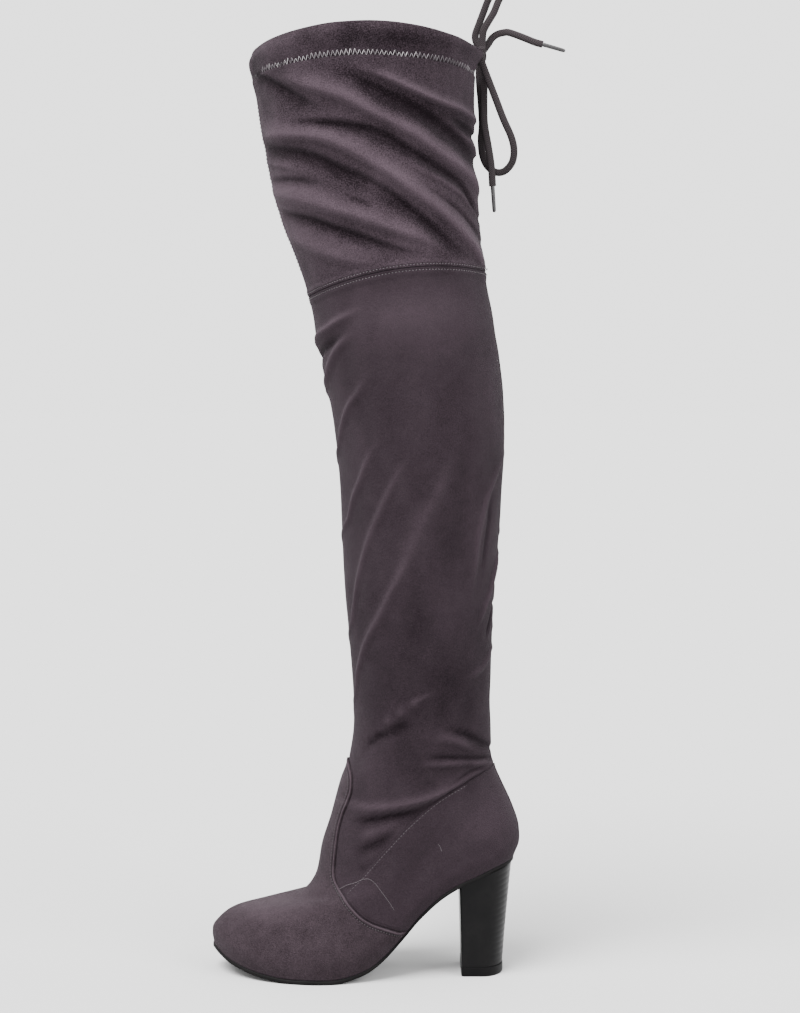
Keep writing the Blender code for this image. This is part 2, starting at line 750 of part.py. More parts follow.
def material(name, colour, roughness):
    """Plain surface of one colour."""
    made = bpy.data.materials.new(name)
    made.use_nodes = True
    shader = made.node_tree.nodes["Principled BSDF"]
    shader.inputs["Base Color"].default_value = (*colour, 1.0)
    shader.inputs["Roughness"].default_value = roughness
    shader.inputs["Metallic"].default_value = 0.0
    return made


def main():
    for obj in list(bpy.data.objects):
        bpy.data.objects.remove(obj, do_unlink=True)

    suede = (0.070, 0.052, 0.062)
    build_outsole(material("black rubber sheet", (0.012, 0.011, 0.012), 0.45))
    build_insole(material("insole cloth", (0.035, 0.030, 0.034), 0.90))
    build_heel(material("black heel cover", (0.014, 0.013, 0.015), 0.35))
    build_top_piece(material("wearing rubber", (0.010, 0.010, 0.010), 0.55))
    build_upper(material("grey stretch suede", suede, 0.90))
    build_vamp(material("grey suede, vamp", suede, 0.90))
    build_counter(material("grey suede, counter", suede, 0.90))
    build_thigh_panel(material("grey suede, thigh", suede, 0.90))
    build_casing(material("grey suede, casing", suede, 0.90))

    lace = (0.075, 0.066, 0.070)
    build_knot(material("lace, knot", lace, 0.80))
    cords = {
        "lace_loop_upper": LOOP_UPPER_ROUTE,
        "lace_loop_lower": LOOP_LOWER_ROUTE,
        "lace_end_side": END_SIDE_ROUTE,
        "lace_end_lower": END_LOWER_ROUTE,
    }
    for name, route in cords.items():
        finish = material(name.replace("_", " "), lace, 0.80)
        build_cord(name, cord_points(route), LACE_DIAMETER, finish)

    tip = (0.060, 0.052, 0.056)
    build_aglet("aglet_side", END_SIDE_ROUTE, AGLET_LENGTH_SIDE, material("tip, side", tip, 0.35))
    build_aglet("aglet_lower", END_LOWER_ROUTE, AGLET_LENGTH_LOWER,
                material("tip, lower", tip, 0.35))


main()
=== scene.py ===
"""Thigh high boot for the left foot: its suede, folds, seams, sole, heel and drawstring.

Metres, +Z up. The toe points along -X and the outer side faces -Y. A place round the boot is
counted in half turns: 0 at the toe, 0.5 in the middle of the outer side, 1 at the back, 1.5 in
the middle of the inner side. A place up the boot is a ring of the form's tables.
"""

import math

import bmesh
import bpy
import numpy as np
from mathutils import Matrix, Vector


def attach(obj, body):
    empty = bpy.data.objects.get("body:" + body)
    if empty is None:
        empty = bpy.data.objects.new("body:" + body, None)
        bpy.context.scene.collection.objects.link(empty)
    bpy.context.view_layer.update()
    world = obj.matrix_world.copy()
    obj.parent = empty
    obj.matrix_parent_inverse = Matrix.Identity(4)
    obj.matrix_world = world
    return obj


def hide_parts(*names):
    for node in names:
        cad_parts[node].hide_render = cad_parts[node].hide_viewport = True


# Foot, sole and heel
SOLE_LENGTH = 0.223
BALL_WIDTH = 0.084
WAIST_WIDTH = 0.054
SEAT_WIDTH = 0.056
TOE_SPRING = 0.016
SEAT_HEIGHT = 0.083
SEAT_BACK = 0.023
SOLE_EDGE = 0.003
WELT = 0.0006
THROAT_HEIGHT = 0.1605
COUNTER_HEIGHT = 0.098
HEEL_TOP_DEPTH, HEEL_TOP_WIDTH = 0.0395, 0.052
HEEL_FOOT_DEPTH, HEEL_FOOT_WIDTH = 0.031, 0.041
HEEL_FLARE = 1.15
HEEL_LAYERS = 17
TOP_PIECE_HEIGHT = 0.0068
TOP_PIECE_FLARE = 0.0005

# Leg
ANKLE_WIDTH = 0.084
COLLAR_WIDTH = 0.147
SIDE_RISE = 0.013

# Cloth
UPPER_WALL = 0.0013
LINING_DEPTH = 0.0022
OVERLAY_WALL = 0.0009
INSOLE_WALL = 0.0020
CASING_THICK = 0.0050
CASING_EDGE = 0.0024
CASING_LAP_WALL = 0.0007
CLEARANCE = 0.0003

# Drawstring
LACE_WIDTH = 0.0054
LACE_THICK = 0.0034
AGLET_DIAMETER = 0.0032
AGLET_LENGTH_SIDE = 0.0180
AGLET_LENGTH_LOWER = 0.0200
KNOT_DEPTH, KNOT_WIDTH, KNOT_HEIGHT = 0.0080, 0.0144, 0.0125
KNOT_BAND_THICK = 0.0016
KNOT_CENTRE = Vector((-0.0002, 0.0, 0.6845))

# Seams: distance of each stitch row from its seam, and the height of one ring on both sides of a seam
KNEE_ROW_ABOVE, KNEE_ROW_BELOW = 0.0021, 0.0017
KNEE_STEP_ABOVE, KNEE_STEP_BELOW = 0.084, 0.041
CASING_STEP_ABOVE, CASING_STEP_BELOW = 0.019, 0.070
VAMP_ROW, COUNTER_ROW, BACK_ROW, FRONT_ROW = 0.0031, 0.0020, 0.0024, 0.0017
THREAD_WIDTH = 0.0002

# Camera: its place and lens, the picture's height in rows, and the row that is level with the camera
CAMERA_PLACE = (-0.0611, -1.6, 0.450)
CAMERA_LENS = 75.81
PICTURE_HEIGHT = 1013
EYE_ROW = 369

# Underside of the sole: place from toe to seat, share of the toe spring, share of the seat height
SOLE_PROFILE = (
    (0.000, 1.00, 0.000),
    (0.072, 0.50, 0.000),
    (0.170, 0.15, 0.000),
    (0.245, 0.02, 0.000),
    (0.290, 0.00, 0.000),
    (0.400, 0.00, 0.000),
    (0.448, 0.00, 0.019),
    (0.516, 0.00, 0.078),
    (0.565, 0.00, 0.169),
    (0.628, 0.00, 0.343),
    (0.691, 0.00, 0.542),
    (0.767, 0.00, 0.729),
    (0.821, 0.00, 0.819),
    (0.874, 0.00, 0.880),
    (0.933, 0.00, 0.946),
    (1.000, 0.00, 1.000),
)

# Bend of the foot's middle line to the inner side: place, share of the ball width
FOOT_BEND = (
    (0.00, 0.100),
    (0.20, 0.035),
    (0.35, 0.000),
    (0.55, -0.030),
    (0.75, -0.015),
    (1.00, 0.000),
)

# Rings of the foot, from the sole's edge up: place of the front along the sole and its share of
# THROAT_HEIGHT, way of the back behind the seat as a share of SOLE_LENGTH and its share of
# COUNTER_HEIGHT, how much the ring follows the sole's curve, how far it has become the leg's, and its
# fullness at toe, ball, waist, seat and heel
FOOT_RINGS = (
    (0.000, None, 0.000, None, 1.00, 0.00, 0.60, 0.532, 0.515, 0.770, 0.96),
    (-0.005, 0.168, 0.015, 0.10, 0.95, 0.00, 0.64, 0.552, 0.610, 0.810, 0.98),
    (0.004, 0.207, 0.016, 0.18, 0.88, 0.00, 0.62, 0.545, 0.630, 0.810, 0.95),
    (0.058, 0.268, 0.011, 0.26, 0.74, 0.00, 0.61, 0.485, 0.630, 0.800, 0.89),
    (0.157, 0.301, -0.005, 0.36, 0.58, 0.00, 0.53, 0.455, 0.630, 0.765, 0.82),
    (0.276, 0.333, -0.024, 0.46, 0.45, 0.10, 0.45, 0.430, 0.630, 0.730, 0.75),
    (0.341, 0.430, -0.045, 0.56, 0.28, 0.25, 0.42, 0.430, 0.640, 0.705, 0.70),
    (0.366, 0.590, -0.063, 0.66, 0.15, 0.45, 0.43, 0.450, 0.655, 0.690, 0.69),
    (0.396, 0.722, -0.072, 0.77, 0.05, 0.70, 0.46, 0.460, 0.700, 0.690, 0.69),
    (0.427, 0.885, -0.074, 0.89, 0.00, 0.90, 0.47, 0.470, 0.720, 0.700, 0.70),
    (0.455, 1.000, -0.075, 1.00, 0.00, 1.00, 0.48, 0.480, 0.730, 0.720, 0.72),
)

# Rings of the leg: height, depth, width, how far the back lies behind the seat and how much lower
# the front is than the back as shares of the depth, and the share of SIDE_RISE
LEG_RINGS = (
    (0.2070, 0.1010, ANKLE_WIDTH, -0.171, 0.098, 0.00),
    (0.2775, 0.1100, 0.094, -0.131, 0.000, 0.00),
    (0.3975, 0.1260, 0.109, -0.048, 0.000, 0.00),
    (0.4725, 0.1325, 0.112, -0.097, 0.070, 0.30),
    (0.5135, 0.1317, 0.116, -0.157, 0.144, 0.70),
    (0.5975, 0.1520, 0.132, -0.183, 0.060, 0.50),
    (0.6680, 0.1650, 0.143, -0.170, 0.020, 0.60),
    (0.6870, 0.1720, COLLAR_WIDTH, -0.127, -0.002, 1.00),
)
ANKLE_RING = len(FOOT_RINGS)
KNEE_RING = ANKLE_RING + 4
CASING_RING = ANKLE_RING + 6
COLLAR_RING = ANKLE_RING + 7

# Way from the front to the back round one side: height, length
HALF_GIRTHS = (
    (0.0600, 0.130),
    (0.1600, 0.135),
    (0.2070, 0.145),
    (0.2775, 0.160),
    (0.3975, 0.185),
    (0.4725, 0.192),
    (0.5135, 0.195),
    (0.5975, 0.223),
    (0.6680, 0.242),
    (0.6870, 0.250),
)

# Edge of the vamp, seen from the side: place along the sole, share of THROAT_HEIGHT
VAMP_EDGE = (
    (0.400, 1.030),
    (0.446, 1.000),
    (0.462, 0.950),
    (0.467, 0.905),
    (0.463, 0.845),
    (0.436, 0.745),
    (0.421, 0.658),
    (0.411, 0.538),
    (0.410, 0.459),
    (0.431, 0.405),
    (0.472, 0.337),
    (0.500, 0.300),
    (0.535, 0.272),
    (0.582, 0.248),
    (0.632, 0.222),
    (0.660, 0.200),
    (0.668, -0.100),
)

# Upper edge of the counter, in the same shares, from where it leaves the vamp to the back
COUNTER_EDGE = (
    (0.442, 0.402),
    (0.495, 0.479),
    (0.539, 0.553),
    (0.583, 0.625),
    (0.646, 0.721),
    (0.722, 0.813),
    (0.797, 0.879),
    (0.931, 0.958),
    (1.060, 1.000),
)

# Folds of the cloth. Each row is how high a ridge stands (a trough is below zero), its half width,
# and its course: share of the depth from front to back, height above the ground.
MM = 0.001
THIGH_FOLDS = (
    (3.6, 3.0, ((0.40, 0.669), (0.55, 0.662), (0.68, 0.653), (0.80, 0.645), (0.92, 0.640), (1.00, 0.635))),
    (-4.2, 6.4, ((0.33, 0.666), (0.45, 0.658), (0.56, 0.649), (0.68, 0.641), (0.76, 0.634), (0.84, 0.626),
                 (0.93, 0.616), (1.00, 0.606))),
    (-3.0, 2.8, ((0.86, 0.636), (0.92, 0.631), (0.98, 0.627))),
    (1.5, 2.2, ((0.85, 0.632), (0.92, 0.623), (0.99, 0.615))),
    (3.6, 6.2, ((0.08, 0.666), (0.16, 0.661), (0.26, 0.654), (0.41, 0.645), (0.51, 0.636), (0.62, 0.627),
                (0.73, 0.617), (0.82, 0.607), (0.91, 0.598), (0.98, 0.590))),
    (-3.2, 3.6, ((0.06, 0.663), (0.15, 0.652), (0.24, 0.642), (0.35, 0.636))),
    (-3.4, 4.0, ((0.09, 0.628), (0.19, 0.6285), (0.32, 0.627), (0.45, 0.624), (0.57, 0.618), (0.69, 0.607),
                 (0.81, 0.596), (0.92, 0.585), (0.98, 0.569))),
    (1.6, 3.6, ((0.58, 0.608), (0.68, 0.597), (0.79, 0.589), (0.90, 0.579), (0.97, 0.567))),
    (-1.6, 2.8, ((0.66, 0.591), (0.76, 0.579), (0.89, 0.566), (0.97, 0.553))),
    (3.8, 6.2, ((0.06, 0.6215), (0.16, 0.6205), (0.28, 0.617), (0.38, 0.610), (0.48, 0.600), (0.58, 0.590),
                (0.66, 0.579), (0.75, 0.569), (0.84, 0.557), (0.94, 0.540), (0.97, 0.531))),
    (-3.8, 4.6, ((0.03, 0.612), (0.16, 0.607), (0.25, 0.602), (0.35, 0.593), (0.45, 0.586), (0.54, 0.577),
                 (0.64, 0.565), (0.73, 0.553), (0.82, 0.541), (0.92, 0.529))),
    (1.4, 3.0, ((0.03, 0.601), (0.13, 0.596), (0.22, 0.591))),
    (-2.4, 3.6, ((0.02, 0.589), (0.11, 0.588), (0.20, 0.585), (0.29, 0.579))),
    (-1.4, 2.8, ((0.33, 0.575), (0.39, 0.571), (0.46, 0.565))),
    (3.4, 6.2, ((0.03, 0.578), (0.16, 0.571), (0.31, 0.563), (0.46, 0.555), (0.59, 0.548), (0.72, 0.542),
                (0.82, 0.535))),
    (-3.6, 4.0, ((0.02, 0.565), (0.14, 0.559), (0.26, 0.551), (0.38, 0.544), (0.50, 0.537), (0.64, 0.533),
                 (0.73, 0.532))),
    (2.2, 7.0, ((0.03, 0.546), (0.17, 0.534), (0.33, 0.528), (0.50, 0.526))),
)
SHAFT_FOLDS = (
    (2.9, 3.0, ((0.02, 0.475), (0.15, 0.486), (0.30, 0.495))),
    (-2.2, 3.0, ((0.01, 0.462), (0.09, 0.470), (0.19, 0.478))),
    (2.7, 3.2, ((0.01, 0.441), (0.06, 0.456), (0.13, 0.468), (0.25, 0.481))),
    (2.1, 2.4, ((0.02, 0.392), (0.05, 0.406), (0.10, 0.421), (0.18, 0.434), (0.27, 0.451))),
    (1.9, 2.4, ((0.05, 0.339), (0.08, 0.353), (0.13, 0.367), (0.20, 0.387), (0.30, 0.404))),
    (1.9, 2.6, ((0.04, 0.262), (0.07, 0.282), (0.11, 0.301), (0.17, 0.324), (0.25, 0.346), (0.34, 0.369),
                (0.47, 0.394))),
    (2.0, 2.8, ((0.02, 0.208), (0.06, 0.230), (0.13, 0.250), (0.23, 0.269), (0.30, 0.285), (0.40, 0.307),
                (0.46, 0.327))),
    (1.3, 5.5, ((0.30, 0.285), (0.40, 0.307), (0.48, 0.332), (0.58, 0.354), (0.69, 0.384), (0.72, 0.400))),
    (1.6, 2.6, ((0.83, 0.272), (0.85, 0.302), (0.86, 0.328), (0.90, 0.354), (0.97, 0.378))),
    (-1.4, 2.2, ((0.90, 0.293), (0.91, 0.317), (0.92, 0.338), (0.93, 0.365))),
    (2.8, 2.2, ((0.88, 0.254), (0.93, 0.271), (0.97, 0.289), (1.00, 0.313))),
    (-2.2, 2.0, ((0.95, 0.247), (0.98, 0.260), (1.00, 0.275))),
    (1.6, 2.4, ((0.77, 0.220), (0.94, 0.229), (1.00, 0.242))),
    (1.8, 2.0, ((0.11, 0.179), (0.27, 0.193), (0.46, 0.207), (0.64, 0.215))),
)
ANKLE_FOLDS = (
    (-2.4, 2.4, ((0.07, 0.167), (0.13, 0.175), (0.22, 0.183), (0.36, 0.188), (0.48, 0.190))),
    (-2.4, 2.6, ((0.59, 0.188), (0.73, 0.185), (0.85, 0.180), (0.98, 0.171))),
    (1.8, 3.0, ((0.56, 0.180), (0.73, 0.177), (0.90, 0.168))),
    (-2.2, 2.4, ((0.48, 0.166), (0.74, 0.165), (0.99, 0.161))),
    (2.4, 2.4, ((0.43, 0.160), (0.64, 0.160), (0.82, 0.160), (1.00, 0.156))),
    (-2.0, 2.2, ((0.61, 0.140), (0.74, 0.145), (0.86, 0.153), (0.95, 0.156))),
    (2.6, 2.6, ((0.10, 0.124), (0.28, 0.128), (0.45, 0.131), (0.62, 0.136), (0.76, 0.144), (0.90, 0.152),
                (0.99, 0.155))),
    (-2.8, 2.6, ((0.11, 0.117), (0.26, 0.119), (0.40, 0.123), (0.54, 0.127), (0.66, 0.134))),
    (2.8, 2.4, ((0.20, 0.105), (0.32, 0.108), (0.41, 0.112), (0.50, 0.117))),
    (-2.0, 2.2, ((0.17, 0.097), (0.28, 0.100), (0.39, 0.107), (0.45, 0.111))),
    (2.6, 2.2, ((0.11, 0.087), (0.25, 0.093), (0.34, 0.098))),
    (-1.6, 2.2, ((0.12, 0.081), (0.24, 0.086), (0.32, 0.091))),
)

# The inner side has the same folds, moved up and forward a little and less high
INNER_RISE = 0.006
INNER_SHARE = 0.94
INNER_HEIGHT = 0.85

# Share by which a ridge is wider on its upper side and a trough on its lower side
LEAN = 0.5

# Slow unevenness of the cloth: how many times longer it is up the boot, its size, its height, and the
# seed of its random numbers
CLOTH_LUMPS = (
    (2.2, 0.024, 0.0006, 3),
    (2.0, 0.010, 0.0004, 8),
)

# Patches of painted light and painted shade, where the nap is painted paler or darker: x and z, half width,
# half height, change
PAINTED_LIGHT_AND_SHADE = (
    (-0.075, 0.586, 0.016, 0.012, 0.70),
    (-0.061, 0.536, 0.025, 0.010, 0.35),
    (-0.054, 0.491, 0.045, 0.020, 0.80),
    (-0.097, 0.664, 0.030, 0.010, -0.35),
    (-0.045, 0.215, 0.060, 0.045, -0.40),
    (-0.085, 0.265, 0.020, 0.030, -0.20),
    (-0.040, 0.639, 0.022, 0.010, -0.40),
    (-0.014, 0.630, 0.010, 0.008, -0.40),
    (-0.075, 0.688, 0.045, 0.010, -0.50),
    (-0.061, 0.537, 0.030, 0.008, 0.30),
    (-0.005, 0.117, 0.020, 0.014, 0.30),
    (-0.165, 0.056, 0.030, 0.012, 0.75),
    (-0.082, 0.1290, 0.024, 0.0026, 0.80),
)

# Routes of the drawstring's loops and ends: x and z are the photo's, y is chosen
LOOP_UPPER_ROUTE = (
    (-0.0016, 0.0032, 0.6918), (-0.0040, 0.0039, 0.6962), (-0.0044, 0.0043, 0.7015),
    (-0.0018, 0.0044, 0.7090), (0.0016, 0.0044, 0.7180), (0.0048, 0.0042, 0.7265),
    (0.0088, 0.0034, 0.7345), (0.0128, 0.0010, 0.7385), (0.0150, -0.0018, 0.7365),
    (0.0144, -0.0042, 0.7295), (0.0118, -0.0049, 0.7235), (0.0090, -0.0050, 0.7165),
    (0.0045, -0.0048, 0.7090), (0.0014, -0.0042, 0.7030), (0.0006, -0.0035, 0.6970),
    (0.0004, -0.0032, 0.6913),
)
LOOP_LOWER_ROUTE = (
    (0.0006, -0.0047, 0.6780), (0.0026, -0.0052, 0.6725), (0.0056, -0.0060, 0.6645),
    (0.0107, -0.0066, 0.6510), (0.0161, -0.0066, 0.6368), (0.0221, -0.0056, 0.6233),
    (0.0242, -0.0040, 0.6135), (0.0228, -0.0018, 0.6047), (0.0173, 0.0010, 0.5985),
    (0.0107, 0.0034, 0.5980), (0.0044, 0.0050, 0.6030), (0.0010, 0.0060, 0.6113),
    (0.0000, 0.0064, 0.6225), (0.0008, 0.0064, 0.6340), (0.0000, 0.0060, 0.6500),
    (-0.0012, 0.0054, 0.6640), (-0.0016, 0.0049, 0.6730), (-0.0012, 0.0047, 0.6782),
)
END_SIDE_ROUTE = (
    (0.0024, 0.0012, 0.6902), (0.0052, 0.0010, 0.6940), (0.0078, 0.0006, 0.6980),
    (0.0115, 0.0000, 0.7008), (0.0160, -0.0010, 0.7020), (0.0206, -0.0020, 0.7020),
    (0.0304, -0.0036, 0.6983), (0.0393, -0.0048, 0.6945), (0.0455, -0.0054, 0.6926),
)
END_LOWER_ROUTE = (
    (0.0006, 0.0000, 0.6779), (0.0014, 0.0001, 0.6700), (0.0019, 0.0001, 0.6607),
    (0.0019, 0.0000, 0.6460), (0.0024, -0.0002, 0.6330), (0.0052, -0.0008, 0.6165),
    (0.0073, -0.0012, 0.6023), (0.0083, -0.0014, 0.5870),
)

# Loose threads caught on the outer side of the foot, in the side view
THREADS = (
    ((-0.1050, 0.0660), (-0.1000, 0.0693), (-0.0933, 0.0722), (-0.0880, 0.0750), (-0.0830, 0.0756),
     (-0.0785, 0.0722), (-0.0743, 0.0668), (-0.0695, 0.0600), (-0.0655, 0.0536)),
    ((-0.0334, 0.1015), (-0.0319, 0.0997), (-0.0304, 0.0960)),
)

# Threads: name, dark and light colour, in the order of build_stitches
THREAD_COLOURS = (
    ("pale thread", (0.16, 0.145, 0.155), (0.42, 0.39, 0.40)),
    ("worn thread", (0.045, 0.038, 0.043), (0.135, 0.120, 0.130)),
    ("middle thread", (0.016, 0.013, 0.015), (0.048, 0.041, 0.045)),
    ("seam thread", (0.030, 0.025, 0.028), (0.090, 0.078, 0.085)),
    ("grey thread", (0.006, 0.004, 0.005), (0.024, 0.019, 0.022)),
)


def smooth_rows(rows, places):
    """Reads a table at places between its rows: a cubic through evenly counted rows."""
    rows = np.asarray(rows, float)
    last = len(rows) - 1
    places = np.asarray(places, float)
    low = np.clip(np.floor(places).astype(int), 0, last - 1)
    t = (places - low)[..., None]
    b, c = rows[low], rows[low + 1]
    leave = (c - rows[np.maximum(low - 1, 0)]) / np.where(low > 0, 2, 1)[..., None]
    arrive = (rows[np.minimum(low + 2, last)] - b) / np.where(low + 2 <= last, 2, 1)[..., None]
    return hermite(t, b, c, leave, arrive)


def curve_through(rows, count):
    """Smooth line of a number of points through the rows of a table."""
    return smooth_rows(rows, np.linspace(0, len(rows) - 1, count))


def way_along(line):
    """Distance along a line at each of its points."""
    return np.concatenate([[0.0], np.cumsum(np.linalg.norm(np.diff(line, axis=0), axis=-1))])


def read_line(line, along, places):
    """Reads a line at distances along it."""
    return np.stack([np.interp(places, along, line[:, k]) for k in range(3)], axis=-1)


def hermite(t, start, end, leave, arrive):
    """Cubic between two values, with the slopes at which it leaves and arrives."""
    return (
        (2 * t**3 - 3 * t**2 + 1) * start + (t**3 - 2 * t**2 + t) * leave
        + (3 * t**2 - 2 * t**3) * end + (t**3 - t**2) * arrive
    )


def blend_columns(keys, values, places):
    """Reads values, given at keys along their last axis, at places, without overshoot."""
    keys = np.asarray(keys, float)
    values = np.asarray(values, float)
    spans = np.diff(keys)
    slopes = np.diff(values, axis=-1) / spans
    left = np.concatenate([slopes[..., :1], slopes], axis=-1)
    right = np.concatenate([slopes, slopes[..., -1:]], axis=-1)
    same = left * right > 0
    gentle = np.where(same, 2 * left * right / np.where(same, left + right, 1.0), 0.0)
    places = np.clip(places, keys[0], keys[-1])
    low = np.clip(np.searchsorted(keys, places) - 1, 0, len(spans) - 1)
    t = (places - keys[low]) / spans[low]

    def read(table, index):
        if table.ndim == 1:
            return table[index]
        return np.take_along_axis(table, index[..., None], axis=-1)[..., 0]

    return hermite(t, read(values, low), read(values, low + 1),
                   read(gentle, low) * spans[low], read(gentle, low + 1) * spans[low])


def table_column(table, column, places):
    """Reads a column of a table at places in its first column."""
    keys, values = zip(*((row[0], row[column]) for row in table))
    return blend_columns(keys, values, np.asarray(places, float))


def soft_step(share):
    """Smooth step from 0 at 0 to 1 at 1."""
    share = np.clip(share, 0.0, 1.0)
    return share * share * (3 - 2 * share)


def toe_x():
    """Place of the toe."""
    return SEAT_BACK - SOLE_LENGTH


def sole_rise(x):
    """Height of the sole's underside."""
    place = (np.asarray(x, float) - toe_x()) / SOLE_LENGTH
    spring = table_column(SOLE_PROFILE, 1, place)
    return spring * TOE_SPRING + table_column(SOLE_PROFILE, 2, place) * SEAT_HEIGHT


def sole_drop(x):
    """How far the sole lies below a straight line from toe to seat."""
    place = np.clip((np.asarray(x, float) - toe_x()) / SOLE_LENGTH, 0.0, 1.0)
    return sole_rise(toe_x() + place * SOLE_LENGTH) - TOE_SPRING - (SEAT_HEIGHT - TOE_SPRING) * place


def ring_rows():
    """Every ring as front x and z, back x and z, follow, side rise, bend, and five fullnesses."""
    edge = SOLE_EDGE + CLEARANCE
    rows = []
    for front, front_up, back, back_up, follow, turn, *full in FOOT_RINGS:
        front_z = TOE_SPRING + edge if front_up is None else front_up * THROAT_HEIGHT
        back_z = SEAT_HEIGHT + edge + (0.0 if back_up is None else back_up * COUNTER_HEIGHT)
        sizes = (BALL_WIDTH, BALL_WIDTH, WAIST_WIDTH, SEAT_WIDTH, SEAT_WIDTH)
        widths = [(1 - turn) * f * size + turn * ANKLE_WIDTH / 2 for f, size in zip(full, sizes)]
        rows.append([toe_x() + front * SOLE_LENGTH, front_z, SEAT_BACK + back * SOLE_LENGTH, back_z,
                     follow, 0.0, 1 - turn, *widths])
    for height, depth, width, back, tilt, rise in LEG_RINGS:
        back_x = SEAT_BACK + back * depth
        half_tilt = tilt * depth / 2
        rows.append([back_x - depth, height - half_tilt, back_x, height + half_tilt, 0.0,
                     rise * SIDE_RISE, 0.0, *[width / 2] * 5])
    return rows


RINGS = ring_rows()


def form(turn, ring):
    """Points of the boot's outer form at places round it and rings up it."""
    turn, ring = np.broadcast_arrays(np.asarray(turn, float), np.asarray(ring, float))
    wrapped = (turn + 1) % 2 - 1
    side = np.where(wrapped < 0, 1.0, -1.0)
    station = (1 - np.cos(math.pi * wrapped)) / 2
    values = smooth_rows(RINGS, ring)
    front_x, front_z, back_x, back_z, follow, rise, bend = np.moveaxis(values[..., :7], -1, 0)
    x = front_x + (back_x - front_x) * station
    oval = np.abs(np.sin(math.pi * wrapped))
    full = blend_columns((0.0, 0.33, 0.62, 0.88, 1.0), values[..., 7:], station)
    middle = table_column(FOOT_BEND, 1, station) * BALL_WIDTH * bend
    y = middle + side * full * oval
    dip = sole_drop(x) - (sole_drop(front_x) * (1 - station) + sole_drop(back_x) * station)
    z = front_z + (back_z - front_z) * station + follow * dip + rise * oval**2
    return np.stack([x, y, z], axis=-1)


def outward(turn, ring):
    """Direction out of the form, level at the sole's edge and along the leg's upper rings."""
    step = 0.002
    along = form(turn + step, ring) - form(turn - step, ring)
    up = form(turn, np.minimum(ring + step, COLLAR_RING)) - form(turn, np.maximum(ring - step, 0.0))
    normal = np.cross(along, up)
    level = np.minimum(soft_step(ring / 1.0), soft_step((ANKLE_RING - ring) / 1.5))
    normal[..., 2] *= level
    return normal / np.linalg.norm(normal, axis=-1, keepdims=True)


def half_girth(height):
    """Way from the front to the back round one side, at a height."""
    return np.interp(height, *zip(*HALF_GIRTHS))


def turn_of_share(share):
    """Place round the outer side of a share of the depth from front to back."""
    return np.arccos(1 - 2 * np.asarray(share, float)) / math.pi


def carried_round(line):
    """Carries a fold that reaches the front or the back of the boot a little past it."""
    if line[0, 0] < 0.16:
        slope = (line[4, 1] - line[0, 1]) / (line[4, 0] - line[0, 0])
        turns = np.array([-0.06, min(0.0, line[0, 0] - 0.01)])
        heights = line[0, 1] + (turns - line[0, 0]) * np.clip(slope, -0.05, 0.12)
        line = np.concatenate([np.stack([turns, heights], axis=-1), line])
    if line[-1, 0] > 0.84:
        slope = (line[-1, 1] - line[-5, 1]) / (line[-1, 0] - line[-5, 0])
        turns = np.array([max(1.0, line[-1, 0] + 0.01), 1.06])
        heights = line[-1, 1] + (turns - line[-1, 0]) * np.clip(slope, -0.09, 0.09)
        line = np.concatenate([line, np.stack([turns, heights], axis=-1)])
    return line


def all_folds():
    """Every fold as height, half width, lean and a smooth course of places round and heights."""
    folds = []
    for group, leans in ((THIGH_FOLDS, True), (SHAFT_FOLDS, False), (ANKLE_FOLDS, True)):
        for height, width, course in group:
            course = np.array(course)
            count = 4 * (len(course) - 1) + 1
            line = curve_through(course, count)
            turns = turn_of_share(np.clip(line[:, 0], 0, 1))
            outer = carried_round(np.stack([turns, line[:, 1]], axis=-1))
            share = np.clip(line[:, 0] * INNER_SHARE + (1 - INNER_SHARE) / 2, 0, 1)
            inner = np.stack([turn_of_share(share), line[:, 1] + INNER_RISE], axis=-1)
            inner = carried_round(inner)
            inner[:, 0] = 2 - inner[:, 0]
            lean = LEAN * math.copysign(1, height) if leans else 0.0
            folds.append((height * MM, width * MM, lean, outer))
            folds.append((height * MM * INNER_HEIGHT, width * MM, lean, inner))
    return folds


FOLDS = all_folds()


def fold_relief(turn, height):
    """How far the folds lift the cloth at places round the boot and heights."""
    relief = np.zeros(turn.shape)
    for rise, width, lean, course in FOLDS:
        reach = 4.0 * width
        scale = half_girth(course[:, 1].mean())
        line = np.stack([course[:, 0] * scale, course[:, 1]], axis=-1)
        runs = np.diff(line, axis=0)
        marks = way_along(line)
        flip = 1.0 if line[-1, 0] > line[0, 0] else -1.0
        for shift in (-2.0, 0.0, 2.0):
            u, v = (turn + shift) * scale, height
            near = (
                (u > line[:, 0].min() - reach) & (u < line[:, 0].max() + reach)
                & (v > line[:, 1].min() - reach) & (v < line[:, 1].max() + reach)
            )
            if not near.any():
                continue
            u, v = u[near], v[near]
            gap = np.full(u.shape, 1e9)
            side = np.zeros(u.shape)
            along = np.zeros(u.shape)
            for (au, av), (du, dv), mark in zip(line, runs, marks):
                size = math.hypot(du, dv)
                t = np.clip(((u - au) * du + (v - av) * dv) / size**2, 0, 1)
                d = np.hypot(u - au - t * du, v - av - t * dv)
                closer = d < gap
                gap = np.where(closer, d, gap)
                side = np.where(closer, (du * (v - av) - dv * (u - au)) / size * flip, side)
                along = np.where(closer, mark + t * size, along)
            span = width * (1 + lean * np.tanh(1.5 * side / width))
            taper = min(0.35 * marks[-1], 0.045)
            ends = soft_step(along / taper) * soft_step((marks[-1] - along) / taper)
            relief[near] += rise * np.exp(-(gap / span) ** 1.7) * ends
    return relief


def lattice(seed):
    """Repeating block of even random numbers, from -1 to 1."""
    return np.random.default_rng(seed).uniform(-1, 1, (24, 24, 24))


